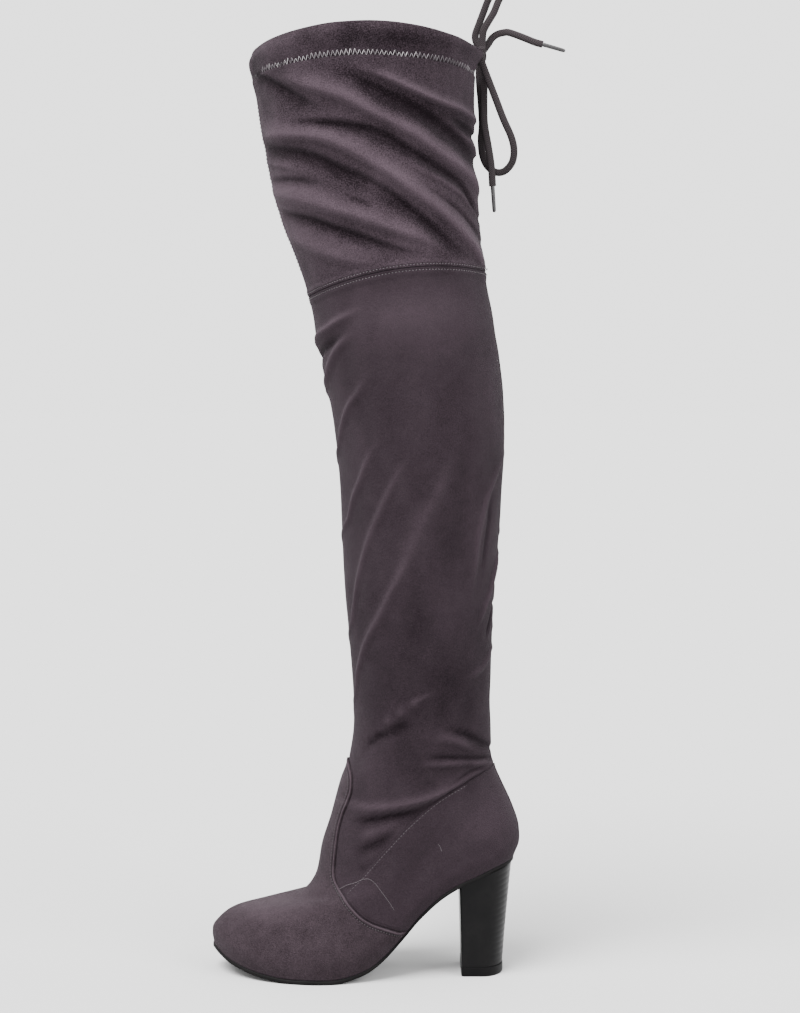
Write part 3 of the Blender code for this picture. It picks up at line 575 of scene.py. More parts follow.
def soft_lumps(points, stretch, size, height, seed):
    """Slow unevenness of worn cloth, longer along the boot by a stretch."""
    block = lattice(seed)
    place = points / (size, size, size * stretch) + 40.0
    low = np.floor(place).astype(int)
    t = soft_step(place - low)
    value = np.zeros(points.shape[:-1])
    for corner in np.ndindex(2, 2, 2):
        weight = np.prod(np.where(corner, t, 1 - t), axis=-1)
        at = (low + corner) % len(block)
        value += weight * block[at[..., 0], at[..., 1], at[..., 2]]
    return height * value


def leg_share(height):
    """0 on the foot, 1 on the leg."""
    return soft_step((height - 0.10) / 0.05)


def front_gap(turn):
    """Half turns from the front of the boot."""
    return np.abs((turn + 1) % 2 - 1)


def frontness(turn):
    """1 at the front of the leg, 0 from its sides to its back."""
    return soft_step((0.42 - front_gap(turn)) / 0.35)


def stiffness(points):
    """1 where the counter holds the cloth flat, 0 away from it."""
    x, z = points[..., 0], points[..., 2]
    edge_x, edge_z = side_curve(COUNTER_EDGE)
    below = soft_step((np.interp(x, edge_x, edge_z) + 0.001 - z) / 0.006)
    return below * soft_step((x - edge_x[0] + 0.006) / 0.012)


def cloth(turn, ring, lift=0.0, folded=1.0):
    """Points of the folded cloth and how high its folds stand there."""
    base = form(turn, ring)
    height = base[..., 2]
    calm = 1 - 0.6 * np.exp(-(front_gap(turn) / 0.13) ** 2) * soft_step((height - 0.50) / 0.02)
    relief = fold_relief(turn % 2, height) * folded * calm * (1 - 0.85 * stiffness(base))
    relief = relief + 0.0026 * np.exp(-((height - 0.570) / 0.030) ** 2) * frontness(turn)
    for lumps in CLOTH_LUMPS:
        relief = relief + soft_lumps(base, *lumps) * leg_share(height)
    relief = relief * soft_step(ring / 1.5)
    return base + outward(turn, ring) * (relief + lift)[..., None], relief


def laid_grid(points, wrap=False, caps=False, wear_and_painted_light=None, cords_uv=False, lining_from=None):
    """A flat grid whose vertices are laid on places, row by row."""
    rows, columns = points.shape[:2]
    bm = bmesh.new()
    bmesh.ops.create_grid(bm, x_segments=columns - 1, y_segments=rows - 1, size=1.0)
    bm.verts.ensure_lookup_table()
    for vert, place in zip(bm.verts, points.reshape(-1, 3).tolist()):
        vert.co = place
    # Value per vertex of wear together with painted highlights and painted shade, which the suede's colour
    # reads.
    if wear_and_painted_light is not None:
        layer = bm.verts.layers.float.new("wear_and_painted_light")
        for vert, value in zip(bm.verts, wear_and_painted_light.reshape(-1).tolist()):
            vert[layer] = value
    if cords_uv:
        along = way_along(points.mean(axis=1))
        layer = bm.loops.layers.uv.new("UVMap")
        for face in bm.faces:
            for loop in face.loops:
                row, column = divmod(loop.vert.index, columns)
                loop[layer].uv = (column / (columns - 1), along[row] / LACE_WIDTH)
    if lining_from is not None:
        for face in bm.faces:
            face.material_index = int(min(v.index for v in face.verts) // columns >= lining_from - 1)
    if wrap:
        bmesh.ops.remove_doubles(bm, verts=bm.verts, dist=1e-6)
    if caps:
        bmesh.ops.holes_fill(bm, edges=bm.edges, sides=0)
        bmesh.ops.recalc_face_normals(bm, faces=bm.faces)
    return bm


def add_piece(name, bm, finish, replaced=(), sharp=None):
    """Makes a bmesh a piece that rides on the boot."""
    mesh = bpy.data.meshes.new(name)
    bm.to_mesh(mesh)
    bm.free()
    mesh.shade_smooth()
    if sharp:
        mesh.set_sharp_from_angle(angle=math.radians(sharp))
    for one in finish if isinstance(finish, (list, tuple)) else [finish]:
        mesh.materials.append(one)
    piece = bpy.data.objects.new(name, mesh)
    bpy.context.scene.collection.objects.link(piece)
    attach(piece, "root")
    if replaced:
        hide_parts(*replaced)
    return piece


def give_wall(piece, thickness, lining=True):
    """Gives an open sheet of cloth its wall, inwards."""
    wall = piece.modifiers.new("wall", "SOLIDIFY")
    wall.thickness = thickness
    wall.offset = -1
    wall.use_even_offset = False
    if lining:
        wall.material_offset = 1


# Node helpers


def feed(tree, target, value):
    """Joins an output to an input, or gives the input a value."""
    if isinstance(value, bpy.types.NodeSocket):
        tree.links.new(value, target)
    else:
        target.default_value = value


def add_node(tree, kind, **named):
    """Node with settings and inputs by their names, with _ for a space."""
    node = tree.nodes.new("ShaderNode" + kind)
    for key, value in named.items():
        label = key.replace("_", " ")
        if label in node.inputs:
            feed(tree, node.inputs[label], value)
        else:
            setattr(node, key, value)
    return node


def reckon(tree, operation, *values):
    """Output of a sum."""
    node = add_node(tree, "Math", operation=operation)
    for target, value in zip(node.inputs, values):
        feed(tree, target, value)
    return node.outputs[0]


def ranged(tree, value, **limits):
    """Value carried from one range to another, from 0 to 1 where no limit is given."""
    return add_node(tree, "MapRange", Value=value, **limits).outputs["Result"]


def noise(tree, scale, detail, roughness=0.5):
    """Noise in the boot's own space."""
    place = add_node(tree, "TexCoord").outputs["Object"]
    texture = add_node(tree, "TexNoise", Vector=place, Scale=scale, Detail=detail, Roughness=roughness)
    return texture.outputs["Fac"]


def between(tree, share, dark, light):
    """Colour between a dark one and a light one."""
    node = add_node(tree, "Mix", data_type="RGBA", Factor=share)
    feed(tree, node.inputs[6], dark)
    feed(tree, node.inputs[7], light)
    return node.outputs[2]


def group_tree(name, **inputs):
    """Node group that gives a colour, a roughness and a height, with its inputs and outputs."""
    tree = bpy.data.node_groups.new(name, "ShaderNodeTree")
    for label, value in inputs.items():
        kind = "NodeSocketColor" if isinstance(value, tuple) else "NodeSocketFloat"
        socket = tree.interface.new_socket(label, in_out="INPUT", socket_type=kind)
        socket.default_value = value
    for label in ("Color", "Roughness", "Height"):
        kind = "NodeSocketColor" if label == "Color" else "NodeSocketFloat"
        tree.interface.new_socket(label, in_out="OUTPUT", socket_type=kind)
    source = tree.nodes.new("NodeGroupInput")
    target = tree.nodes.new("NodeGroupOutput")
    return tree, source.outputs, target.inputs


def nap_group():
    """Brushed nap: blotches, a speckle of fibres, and a value held at the points that paints ridges paler,
    wear with a painted highlight, and troughs darker, dust with painted shade.
    """
    tree, given, out = group_tree(
        "suede nap", Dark=(0.03, 0.02, 0.03, 1), Light=(0.12, 0.10, 0.12, 1),
        Rub=0.0, Blotch=0.45, Speckle=1.3,
    )
    blotch = noise(tree, 110.0, 4.0, 0.65)
    speckle = noise(tree, 1250.0, 2.0, 0.6)
    fibre = noise(tree, 3600.0, 1.0, 0.6)
    grey = reckon(tree, "MULTIPLY", reckon(tree, "SUBTRACT", blotch, 0.5), given["Blotch"])
    grain = reckon(tree, "MULTIPLY_ADD", reckon(tree, "SUBTRACT", speckle, 0.5), given["Speckle"], grey)
    # The value held at the points adds wear together with painted highlights on ridges and painted shade in
    # troughs and patches.
    worn = reckon(tree, "MULTIPLY_ADD", given["Rub"], 0.50, grain)
    level = ranged(tree, worn, From_Min=-0.39, From_Max=0.91)
    feed(tree, out["Color"], between(tree, level, given["Dark"], given["Light"]))
    feed(tree, out["Roughness"], ranged(tree, worn, From_Min=-0.4, To_Min=0.98, To_Max=0.82))
    feed(tree, out["Height"], reckon(tree, "MULTIPLY_ADD", fibre, 0.5, speckle))
    return tree


def grain_group():
    """Fine unevenness of a hard surface: colour between two, roughness and height."""
    tree, given, out = group_tree(
        "fine grain", Dark=(0.01, 0.01, 0.01, 1), Light=(0.03, 0.03, 0.03, 1),
        Size=400.0, Smooth=0.3, Rough=0.6,
    )
    grain = noise(tree, given["Size"], 4.0, 0.65)
    smear = noise(tree, 55.0, 2.0)
    level = ranged(tree, reckon(tree, "MULTIPLY", grain, smear), From_Min=0.15, From_Max=0.40)
    feed(tree, out["Color"], between(tree, level, given["Dark"], given["Light"]))
    feed(tree, out["Roughness"], ranged(tree, level, To_Min=given["Smooth"], To_Max=given["Rough"]))
    feed(tree, out["Height"], grain)
    return tree


def new_finish(name, **values):
    """New material with its shader; values go to the shader's own inputs, with _ for a space."""
    made = bpy.data.materials.new(name)
    made.use_nodes = True
    shader = made.node_tree.nodes["Principled BSDF"]
    for key, value in values.items():
        shader.inputs[key.replace("_", " ")].default_value = value
    return made, shader


def shaded(name, group, values, bump, distance, **shader_values):
    """Material whose colour, roughness and bump come from a group."""
    made, shader = new_finish(name, **shader_values)
    tree = made.node_tree
    effect = add_node(tree, "Group", node_tree=group)
    for key, value in values.items():
        effect.inputs[key].default_value = value
    relief = add_node(tree, "Bump", Strength=bump, Distance=distance, Height=effect.outputs["Height"])
    feed(tree, shader.inputs["Base Color"], effect.outputs["Color"])
    feed(tree, shader.inputs["Roughness"], effect.outputs["Roughness"])
    feed(tree, shader.inputs["Normal"], relief.outputs["Normal"])
    return made, effect


def suede(name, group, dark, light, blotch, speckle):
    """Nap made paler or darker by a value held at its points: wear of the cloth together with painted
    highlights on ridges and painted shade in troughs and patches.
    """
    made, effect = shaded(
        name, group, {"Dark": (*dark, 1), "Light": (*light, 1), "Blotch": blotch, "Speckle": speckle},
        0.9, 0.0008, Sheen_Weight=0.04, Sheen_Roughness=0.38, Sheen_Tint=(0.80, 0.70, 0.78, 1),
        Specular_IOR_Level=0.05,
    )
    wear_and_painted_light = add_node(made.node_tree, "Attribute", attribute_name="wear_and_painted_light")
    feed(made.node_tree, effect.inputs["Rub"], wear_and_painted_light.outputs["Fac"])
    return made


def grained(name, group, dark, light, size, smooth, rough, bump=0.15, **values):
    """Plain finish, with its grain's fineness, its lowest and highest roughness and its bump."""
    grain = {"Dark": (*dark, 1), "Light": (*light, 1), "Size": size, "Smooth": smooth, "Rough": rough}
    return shaded(name, group, grain, bump, 0.0003, **values)[0]


def braid_finish(name):
    """Herringbone of a flat braid, read from the cord's own UV map."""
    made, shader = new_finish(name, Roughness=0.8, Specular_IOR_Level=0.10)
    tree = made.node_tree
    place = add_node(tree, "UVMap", uv_map="UVMap").outputs["UV"]
    across, along, _ = add_node(tree, "SeparateXYZ", Vector=place).outputs
    slant = reckon(tree, "MULTIPLY_ADD", reckon(tree, "PINGPONG", across, 0.125), 3.2, along)
    ridge = reckon(tree, "SINE", reckon(tree, "MULTIPLY", slant, 2 * math.pi * 3.6))
    level = ranged(tree, ridge, From_Min=-1.0)
    dark, light = (0.0022, 0.0017, 0.0019, 1), (0.0330, 0.0265, 0.0290, 1)
    relief = add_node(tree, "Bump", Strength=0.5, Distance=0.0001, Height=level)
    feed(tree, shader.inputs["Base Color"], between(tree, level, dark, light))
    feed(tree, shader.inputs["Normal"], relief.outputs["Normal"])
    return made


def make_camera():
    """Camera that looks level at the boot's outer side, with the photo's framing."""
    data = bpy.data.cameras.new("camera")
    data.lens = CAMERA_LENS
    data.shift_y = -(PICTURE_HEIGHT / 2 - EYE_ROW) / PICTURE_HEIGHT
    camera = bpy.data.objects.new("camera", data)
    camera.location = CAMERA_PLACE
    camera.rotation_euler = (math.pi / 2, 0.0, 0.0)
    bpy.context.scene.collection.objects.link(camera)
    bpy.context.scene.camera = camera


def route_points(route, spacing):
    """Points along a smooth curve through a route, evenly spaced."""
    dense = curve_through(route, 60 * len(route))
    along = way_along(dense)
    count = max(4, round(along[-1] / spacing))
    return read_line(dense, along, np.linspace(0, along[-1], count + 1)), along[-1]


def braid_section(count):
    """Rounded flat section: shares of half the width and of half the thickness."""
    angle = np.linspace(0, 2 * math.pi, count + 1)
    across = np.sign(np.cos(angle)) * np.abs(np.cos(angle)) ** 0.8
    through = np.sign(np.sin(angle)) * np.abs(np.sin(angle)) ** 0.9
    return np.stack([across, through], axis=-1)


def braid_grid(path, facing, width, thick):
    """Points of a flat cord along a path, with its broad side towards a direction."""
    along = np.gradient(path, axis=0)
    along /= np.linalg.norm(along, axis=1, keepdims=True)
    facing = np.broadcast_to(np.asarray(facing, float), path.shape)
    face = facing - along * np.sum(facing * along, axis=1, keepdims=True)
    face /= np.linalg.norm(face, axis=1, keepdims=True)
    side = np.cross(face, along)
    section = braid_section(20)
    spread = section[None, :, :1] * side[:, None] * width / 2
    return path[:, None] + spread + section[None, :, 1:] * face[:, None] * thick / 2


def build_lace(name, route, finish):
    """One free loop or end of the drawstring."""
    path, length = route_points(route, 0.0008)
    grid = braid_grid(path, (0, -1, 0), LACE_WIDTH, LACE_THICK)
    bm = laid_grid(grid, wrap=True, caps=True, cords_uv=True)
    lace = add_piece(name, bm, finish, [name], sharp=60)


def build_aglet(name, route, length, finish):
    """Pressed tip with a rounded end."""
    end, before = Vector(route[-1]), Vector(route[-2])
    along = (end - before).normalized()
    profile = ((0.0, 0.42), (0.01, 0.49), (0.05, 0.50), (0.88, 0.46), (0.96, 0.40), (1.0, 0.20))
    bm = bmesh.new()
    start = end - along * CLEARANCE
    turn = along.to_track_quat("Z", "Y").to_matrix().to_4x4()
    bmesh.ops.create_circle(bm, segments=20, radius=AGLET_DIAMETER * profile[0][1])
    edges = bm.edges[:]
    for place, radius in profile[1:]:
        grown = bmesh.ops.extrude_edge_only(bm, edges=edges)["geom"]
        verts = [g for g in grown if isinstance(g, bmesh.types.BMVert)]
        edges = [g for g in grown if isinstance(g, bmesh.types.BMEdge)]
        current = max(v.co.xy.length for v in verts)
        scale = AGLET_DIAMETER * radius / current
        rise = place * length - verts[0].co.z
        bmesh.ops.scale(bm, verts=verts, vec=(scale, scale, 1))
        bmesh.ops.translate(bm, verts=verts, vec=(0, 0, rise))
    bmesh.ops.holes_fill(bm, edges=bm.edges, sides=0)
    bmesh.ops.recalc_face_normals(bm, faces=bm.faces)
    bmesh.ops.transform(bm, matrix=Matrix.Translation(start) @ turn, verts=bm.verts)
    return add_piece(name, bm, finish, [name], sharp=50)


def put_in(whole, part):
    """Adds a bmesh to another."""
    mesh = bpy.data.meshes.new("part")
    part.to_mesh(mesh)
    part.free()
    whole.from_mesh(mesh)
    bpy.data.meshes.remove(mesh)


def build_knot(finish):
    """Bow knot: two bands round the crossing, and the leads that pass through it."""
    centre = np.array(KNOT_CENTRE)
    angle = np.linspace(0, 2 * math.pi, 61)
    cos, sin, none = np.cos(angle), np.sin(angle), 0 * angle
    bands = (
        # points of the band round the centre, and the direction of its width
        ((cos * (KNOT_DEPTH / 2 - 0.0008), none, sin * (KNOT_HEIGHT / 2 - 0.0008)), (0, 1, 0)),
        ((cos * (KNOT_DEPTH / 2 - 0.0018), sin * (KNOT_WIDTH / 2 - 0.0010), none), (0, 0, 1)),
    )
    whole = bmesh.new()
    for band, edge in bands:
        path = centre + np.stack(band, axis=-1)
        along = np.gradient(path, axis=0)
        along[0] = along[-1] = path[1] - path[-2]
        grid = braid_grid(path, np.cross(along, edge), LACE_WIDTH, KNOT_BAND_THICK)
        grid[-1] = grid[0]
        put_in(whole, laid_grid(grid, wrap=True, cords_uv=True))
    leads = (LOOP_UPPER_ROUTE[:2], LOOP_UPPER_ROUTE[:-3:-1], LOOP_LOWER_ROUTE[:2], LOOP_LOWER_ROUTE[:-3:-1],
             END_SIDE_ROUTE[:2], END_LOWER_ROUTE[:2])
    for first, second in np.array(leads):
        back = first - (second - first) / np.linalg.norm(second - first) * 0.0040
        path = np.stack([first, (first + back) / 2, back, back * 0.4 + centre * 0.6])
        lead = braid_grid(path, (0, -1, 0), LACE_WIDTH, LACE_THICK)
        put_in(whole, laid_grid(lead, wrap=True, caps=True, cords_uv=True))
    core = bmesh.ops.create_uvsphere(whole, u_segments=24, v_segments=16, radius=0.5)["verts"]
    bmesh.ops.scale(whole, verts=core, vec=(KNOT_DEPTH * 0.62, KNOT_WIDTH * 0.80, KNOT_HEIGHT * 0.66))
    bmesh.ops.translate(whole, verts=core, vec=KNOT_CENTRE)
    bmesh.ops.recalc_face_normals(whole, faces=whole.faces)
    return add_piece("lace_knot", whole, finish, ["lace_knot"])


def build_drawstring(finish, tip):
    """Knot, tips, loops and ends of the bow."""
    knot = build_knot(finish)
    side = build_aglet("aglet_side", END_SIDE_ROUTE, AGLET_LENGTH_SIDE, tip)
    lower = build_aglet("aglet_lower", END_LOWER_ROUTE, AGLET_LENGTH_LOWER, tip)
    build_lace("lace_loop_upper", LOOP_UPPER_ROUTE, finish)
    build_lace("lace_loop_lower", LOOP_LOWER_ROUTE, finish)
    build_lace("lace_end_side", END_SIDE_ROUTE, finish)
    build_lace("lace_end_lower", END_LOWER_ROUTE, finish)


def spaced_rings(counts, start=0):
    """Rings from a first one on, with a number of rows between each and the next."""
    rings = [float(start)]
    for step, count in enumerate(counts):
        rings += [start + step + (k + 1) / count for k in range(count)]
    return np.array(rings)


def wear_and_painted_light_of(relief, points):
    """Wear of the nap with painted light: above zero on ridges, wear and a painted highlight; below zero in
    troughs, dust and painted shade; and painted light and painted shade in a few places.
    """
    wear_and_painted_light = np.clip(relief / 0.0030, -0.6, 1.0)
    for x, z, wide, high, change in PAINTED_LIGHT_AND_SHADE:
        wear_and_painted_light = wear_and_painted_light + change * np.exp(-((points[..., 0] - x) / wide) ** 2 - ((points[..., 2] - z) / high) ** 2)
    return wear_and_painted_light


def seam_dent(distance, width, depth):
    """Dent along a seam."""
    return -depth * np.exp(-(distance / width) ** 2)


def back_seam(turn, ring):
    """Raised seam down the back of the shaft, with a groove between its two edges."""
    height = form(turn, ring)[..., 2]
    gap = (np.abs(turn % 2 - 1)) * half_girth(height)
    ridge = 0.0006 * np.exp(-((gap - 0.0012) / 0.0009) ** 2)
    return ridge + seam_dent(gap, 0.0005, 0.0005)


def build_upper(finish, lining):
    """The sock of the boot, from the sole's edge to the knee seam, with its lining."""
    rings = spaced_rings([3] * 7 + [8] * 4 + [52, 84, 54, 30])
    rings = np.unique(np.concatenate([rings, np.linspace(KNEE_RING - 0.16, KNEE_RING, 25)]))
    around = np.linspace(0, 2, 257)
    turn, ring = np.meshgrid(around, rings)
    calm = 0.25 + 0.75 * soft_step((KNEE_RING - ring) / 0.4)
    points, relief = cloth(turn, ring, lift=knee_seam(ring), folded=calm)
    seam = back_seam(turn, ring) * soft_step((ring - 7.0) / 0.5)
    points = points + outward(turn, ring) * seam[..., None]
    points[-1, :, 2] -= CLEARANCE / 2
    inside = np.concatenate([np.arange(0, ANKLE_RING, 0.8), np.linspace(ANKLE_RING, KNEE_RING - 0.1, 36)])
    turn, ring = np.meshgrid(around, inside[::-1])
    deep = -UPPER_WALL - LINING_DEPTH * soft_step(ring / 2.0)
    inner, _ = cloth(turn, ring, lift=deep, folded=0.0)
    rim = points[-1] - outward(around, np.full(around.shape, float(KNEE_RING))) * UPPER_WALL
    grid = np.concatenate([points, rim[None], inner, points[:1]])
    wear_and_painted_light = np.zeros(grid.shape[:2])
    wear_and_painted_light[:len(relief)] = wear_and_painted_light_of(relief, points)
    bm = laid_grid(grid, wrap=True, wear_and_painted_light=wear_and_painted_light, lining_from=len(points))
    return add_piece("upper", bm, [finish, lining], ["upper"])


def knee_seam(ring):
    """Rolled edges on both sides of the knee seam, each with its row of stitches."""
    up = (ring - KNEE_RING) * np.where(ring < KNEE_RING, KNEE_STEP_BELOW, KNEE_STEP_ABOVE)
    above = 0.0007 * soft_step(up / 0.0004) * soft_step((0.0075 - up) / 0.0045)
    below = 0.0005 * soft_step((-0.0004 - up) / 0.0004) * soft_step((up + 0.0060) / 0.0035)
    rows = seam_dent(up - KNEE_ROW_ABOVE, 0.0006, 0.0004) + seam_dent(up + KNEE_ROW_BELOW, 0.0006, 0.0004)
    return above + below + rows + seam_dent(up - 0.0010, 0.0003, 0.0005)


def gathers(turn, gap):
    """Small pleats where the elastic stitching draws the cloth together, and the cloth's spread."""
    seam = form(turn, CASING_RING)
    pleats = soft_lumps(seam, 5.0, 0.0065, 0.0012, 21) + soft_lumps(seam, 4.0, 0.0035, 0.0005, 22)
    front = frontness(turn)
    spread = 0.0024 * front * np.exp(-(gap / 0.013) ** 2)
    return pleats * (1 - 0.6 * front) * np.exp(-np.abs(gap) / 0.009) + spread + seam_dent(gap, 0.0016, 0.0004)


def panel_surface(turn, ring):
    """Outside of the cloth between the knee seam and the casing, and how high its folds stand."""
    calm = soft_step((ring - KNEE_RING) / 0.12)
    points, relief = cloth(turn, ring, lift=knee_seam(ring), folded=0.25 + 0.75 * calm)
    front = front_gap(turn) * half_girth(0.6)
    line = seam_dent(front, 0.0007, 0.0005) * soft_step((ring - KNEE_RING) / 0.15)
    shift = line + gathers(turn, (CASING_RING - ring) * CASING_STEP_BELOW)
    return points + outward(turn, ring) * shift[..., None], relief


def build_thigh_panel(finish, lining):
    """Cloth from the knee seam to the casing."""
    rings = np.concatenate([KNEE_RING + np.linspace(0, 0.10, 25)[:-1],
                            np.linspace(KNEE_RING + 0.10, CASING_RING, 112)])
    turn, ring = np.meshgrid(np.linspace(0, 2, 265), rings)
    points, relief = panel_surface(turn, ring)
    points[0, :, 2] += CLEARANCE / 2
    points[-1, :, 2] -= CLEARANCE / 2
    bm = laid_grid(points, wrap=True, wear_and_painted_light=wear_and_painted_light_of(relief, points))
    piece = add_piece("thigh_panel", bm, [finish, lining], ["thigh_panel"])
    give_wall(piece, UPPER_WALL)


def mouth_turn():
    """Place round the boot of the casing's open end, beside the knot."""
    mouth = (KNOT_WIDTH + 2 * CLEARANCE) / COLLAR_WIDTH
    return turn_of_share((1 + math.sqrt(1 - mouth**2)) / 2)


def casing_surface(turn, ring):
    """Outside of the casing, and how high the cloth stands there without its cord."""
    share = ring - CASING_RING
    base = form(turn, ring)
    _, seam = cloth(turn, np.full(ring.shape, float(CASING_RING)))
    relief = seam * (1 - soft_step(share / 0.6))
    relief = relief + soft_lumps(base, 1.0, 0.016, 0.0011, 5) * soft_step(share / 0.3)
    bulge = (CASING_THICK - CASING_EDGE) * np.sin(math.pi * np.clip(share, 0, 1)) ** 1.2
    shift = relief + bulge * (1 - 0.6 * frontness(turn)) + gathers(turn, share * CASING_STEP_ABOVE)
    return base + outward(turn, ring) * shift[..., None], relief


def build_casing(finish):
    """Folded tunnel at the collar, puffed out by the cord in it, lapped inside the cloth below."""
    last = float(mouth_turn())
    turn, ring = np.meshgrid(np.linspace(-last, last, 261), CASING_RING + np.linspace(0, 1, 15))
    base = form(turn, ring)
    normal = outward(turn, ring)
    outside, relief = casing_surface(turn, ring)
    outside[0, :, 2] += CLEARANCE / 2
    rim = outside[-1] - normal[-1] * CASING_EDGE / 2
    rows = [outside[:-1]]
    for angle in np.linspace(0, math.pi, 9):
        swing = rim + normal[-1] * math.cos(angle) * CASING_EDGE / 2
        swing[:, 2] += math.sin(angle) * CASING_EDGE / 2 - CASING_EDGE / 2
        rows.append(swing[None])
    inside = base[::-1][1:] + (normal[::-1][1:]) * (relief[::-1][1:] - CASING_EDGE)[..., None]
    rows.append(inside)
    lap = CASING_EDGE - CASING_LAP_WALL
    for drop, depth in ((0.03, CASING_EDGE), (0.03, lap), (0.0, lap)):
        low = np.full(turn[:1].shape, CASING_RING - drop)
        rows.append(form(turn[:1], low) + outward(turn[:1], low) * (relief[:1] - depth)[..., None])
    rows[-1][..., 2] += CLEARANCE / 2
    points = np.concatenate(rows)
    points = np.concatenate([points, points[:1]])
    wear_and_painted_light = np.zeros(points.shape[:2])
    wear_and_painted_light[:15] = wear_and_painted_light_of(relief, outside)
    bm = laid_grid(points, wrap=True, caps=True, wear_and_painted_light=wear_and_painted_light)
    return add_piece("drawstring_casing", bm, finish, ["drawstring_casing"])


def side_curve(table):
    """Dense side view line through a table of places and heights."""
    line = curve_through(table, 16 * len(table))
    return toe_x() + line[:, 0] * SOLE_LENGTH, line[:, 1] * THROAT_HEIGHT


def in_vamp(x, z):
    """Above zero in front of the vamp's edge."""
    edge_x, edge_z = side_curve(VAMP_EDGE)
    return np.interp(z, edge_z[::-1], edge_x[::-1]) - x


def in_counter(x, z):
    """Above zero behind the vamp's edge and below the counter's."""
    edge_x, edge_z = side_curve(COUNTER_EDGE)
    return np.minimum(-in_vamp(x, z) - CLEARANCE, np.interp(x, edge_x, edge_z) - z)


def edge_turns(rings, side, region, front):
    """Place round the boot, on one side, where each ring crosses the edge of a region."""
    places = np.linspace(0, 1, 500)
    place, ring = np.meshgrid(places, rings)
    points = form(place * side, ring)
    value = region(points[..., 0], points[..., 2])
    if not front:
        value = value[:, ::-1]
    outside = value <= 0
    first = np.where(outside.any(axis=1), outside.argmax(axis=1), len(places) - 1)
    before = np.maximum(first - 1, 0)
    row = np.arange(len(rings))
    a, b = value[row, before], value[row, first]
    share = np.where(a > 0, a / np.where(a - b == 0, 1, a - b), 0.0)
    found = (before + share) / (len(places) - 1)
    found = np.where(first == 0, 0.0, found)
    return found if front else 1 - found


def overlay_rings(region, front, rows):
    """Rings over which a region reaches, closer together towards its top."""
    rings = np.linspace(0, ANKLE_RING, 900)
    reach = edge_turns(rings, 1, region, front)
    inside = reach > 0.004 if front else reach < 0.996
    top = rings[inside].max()
    return top * np.sin(np.linspace(0, math.pi / 2, rows))


def distance_to(points, line):
    """Distance of each point of a grid to the nearest point of a line."""
    flat = points.reshape(-1, 3)
    found = np.empty(len(flat))
    for start in range(0, len(flat), 4000):
        block = flat[start:start + 4000]
        found[start:start + 4000] = np.linalg.norm(block[:, None] - line[None], axis=-1).min(axis=1)
    return found.reshape(points.shape[:2])


def vamp_edge(turn, ring, gap):
    """Folded edge of the vamp with its stitch row, lower over the middle of the instep."""
    fold = 0.0009 * np.exp(-((gap - 0.0012) / 0.0008) ** 2) + seam_dent(gap, 0.0006, 0.0009)
    fold = fold + seam_dent(gap - VAMP_ROW, 0.0007, 0.0003)
    return fold * (0.3 + 0.7 * soft_step(np.abs(turn) / 0.06))


def counter_edge(turn, ring, gap):
    """Sunk edge of the counter with its stitch row, and the seam down its back."""
    fold = seam_dent(gap, 0.0012, 0.0010) + seam_dent(gap - COUNTER_ROW, 0.0006, 0.0003)
    return fold + back_seam(turn, ring) * soft_step(ring / 1.0)


def build_overlay(name, region, front, size, edge_relief, edge_painted_light, finish):
    """Piece lapped over the sock at the toe or at the heel, with the relief of its edge; on the vamp that
    relief is also painted into the nap as a painted highlight on the roll and painted shade in its dents.
    """
    rows, columns = size
    rings = overlay_rings(region, front, rows)
    outer, inner = (edge_turns(rings, side, region, front)[:, None] for side in (1, -1))
    spread = np.sin(np.linspace(-1, 1, columns) * math.pi / 2)
    if front:
        turn = spread * np.where(spread < 0, inner, outer)
    else:
        turn = 1 + spread * np.where(spread < 0, 1 - outer, 1 - inner)
    ring = np.broadcast_to(rings[:, None], turn.shape)
    base, relief = cloth(turn, ring, lift=CLEARANCE + OVERLAY_WALL)
    gap = distance_to(base, np.concatenate([base[:, 0], base[:, -1]]))
    fold = edge_relief(turn, ring, gap) * soft_step(ring / 0.6)
    points = base + outward(turn, ring) * fold[..., None]
    # The edge's fold, scaled, paints a highlight on the rolled edge and a shadow line in the dents beside it.
    bm = laid_grid(points, wrap=True, wear_and_painted_light=wear_and_painted_light_of(relief + edge_painted_light * fold, points))
    piece = add_piece(name, bm, finish, [name])
    give_wall(piece, OVERLAY_WALL, lining=False)


def stitch_line(turns, rings, lift):
    """Places on the cloth, and their outward directions, along a seam."""
    turns, rings = np.asarray(turns, float), np.asarray(rings, float)
    points, _ = cloth(turns, rings, lift=lift)
    return points, outward(turns, rings)


def side_line(x, z, side):
    """Places round the boot and rings under a line in the side view, on one side."""
    places, rings = np.linspace(0.02, 0.98, 120), np.linspace(0, ANKLE_RING + 1, 240)
    turn, ring = np.meshgrid(places, rings)
    seen = form(turn * side, ring)[..., [0, 2]]
    target = np.stack([x, z], axis=-1)
    gaps = np.linalg.norm(seen[None] - target[:, None, None], axis=-1).reshape(len(target), -1)
    nearest = gaps.argmin(axis=1)
    turns, rings = turn.reshape(-1)[nearest], ring.reshape(-1)[nearest]
    step = 0.001
    for _ in range(4):
        here = form(turns * side, rings)[:, [0, 2]]
        by_turn = (form((turns + step) * side, rings)[:, [0, 2]] - here) / step
        by_ring = (form(turns * side, rings + step)[:, [0, 2]] - here) / step
        move = np.linalg.solve(np.stack([by_turn, by_ring], axis=-1), (target - here)[..., None])[..., 0]
        turns = np.clip(turns + np.clip(move[:, 0], -0.02, 0.02), 0.005, 0.995)
        rings = np.clip(rings + np.clip(move[:, 1], -0.2, 0.2), 0, ANKLE_RING + 2)
    return turns * side, rings


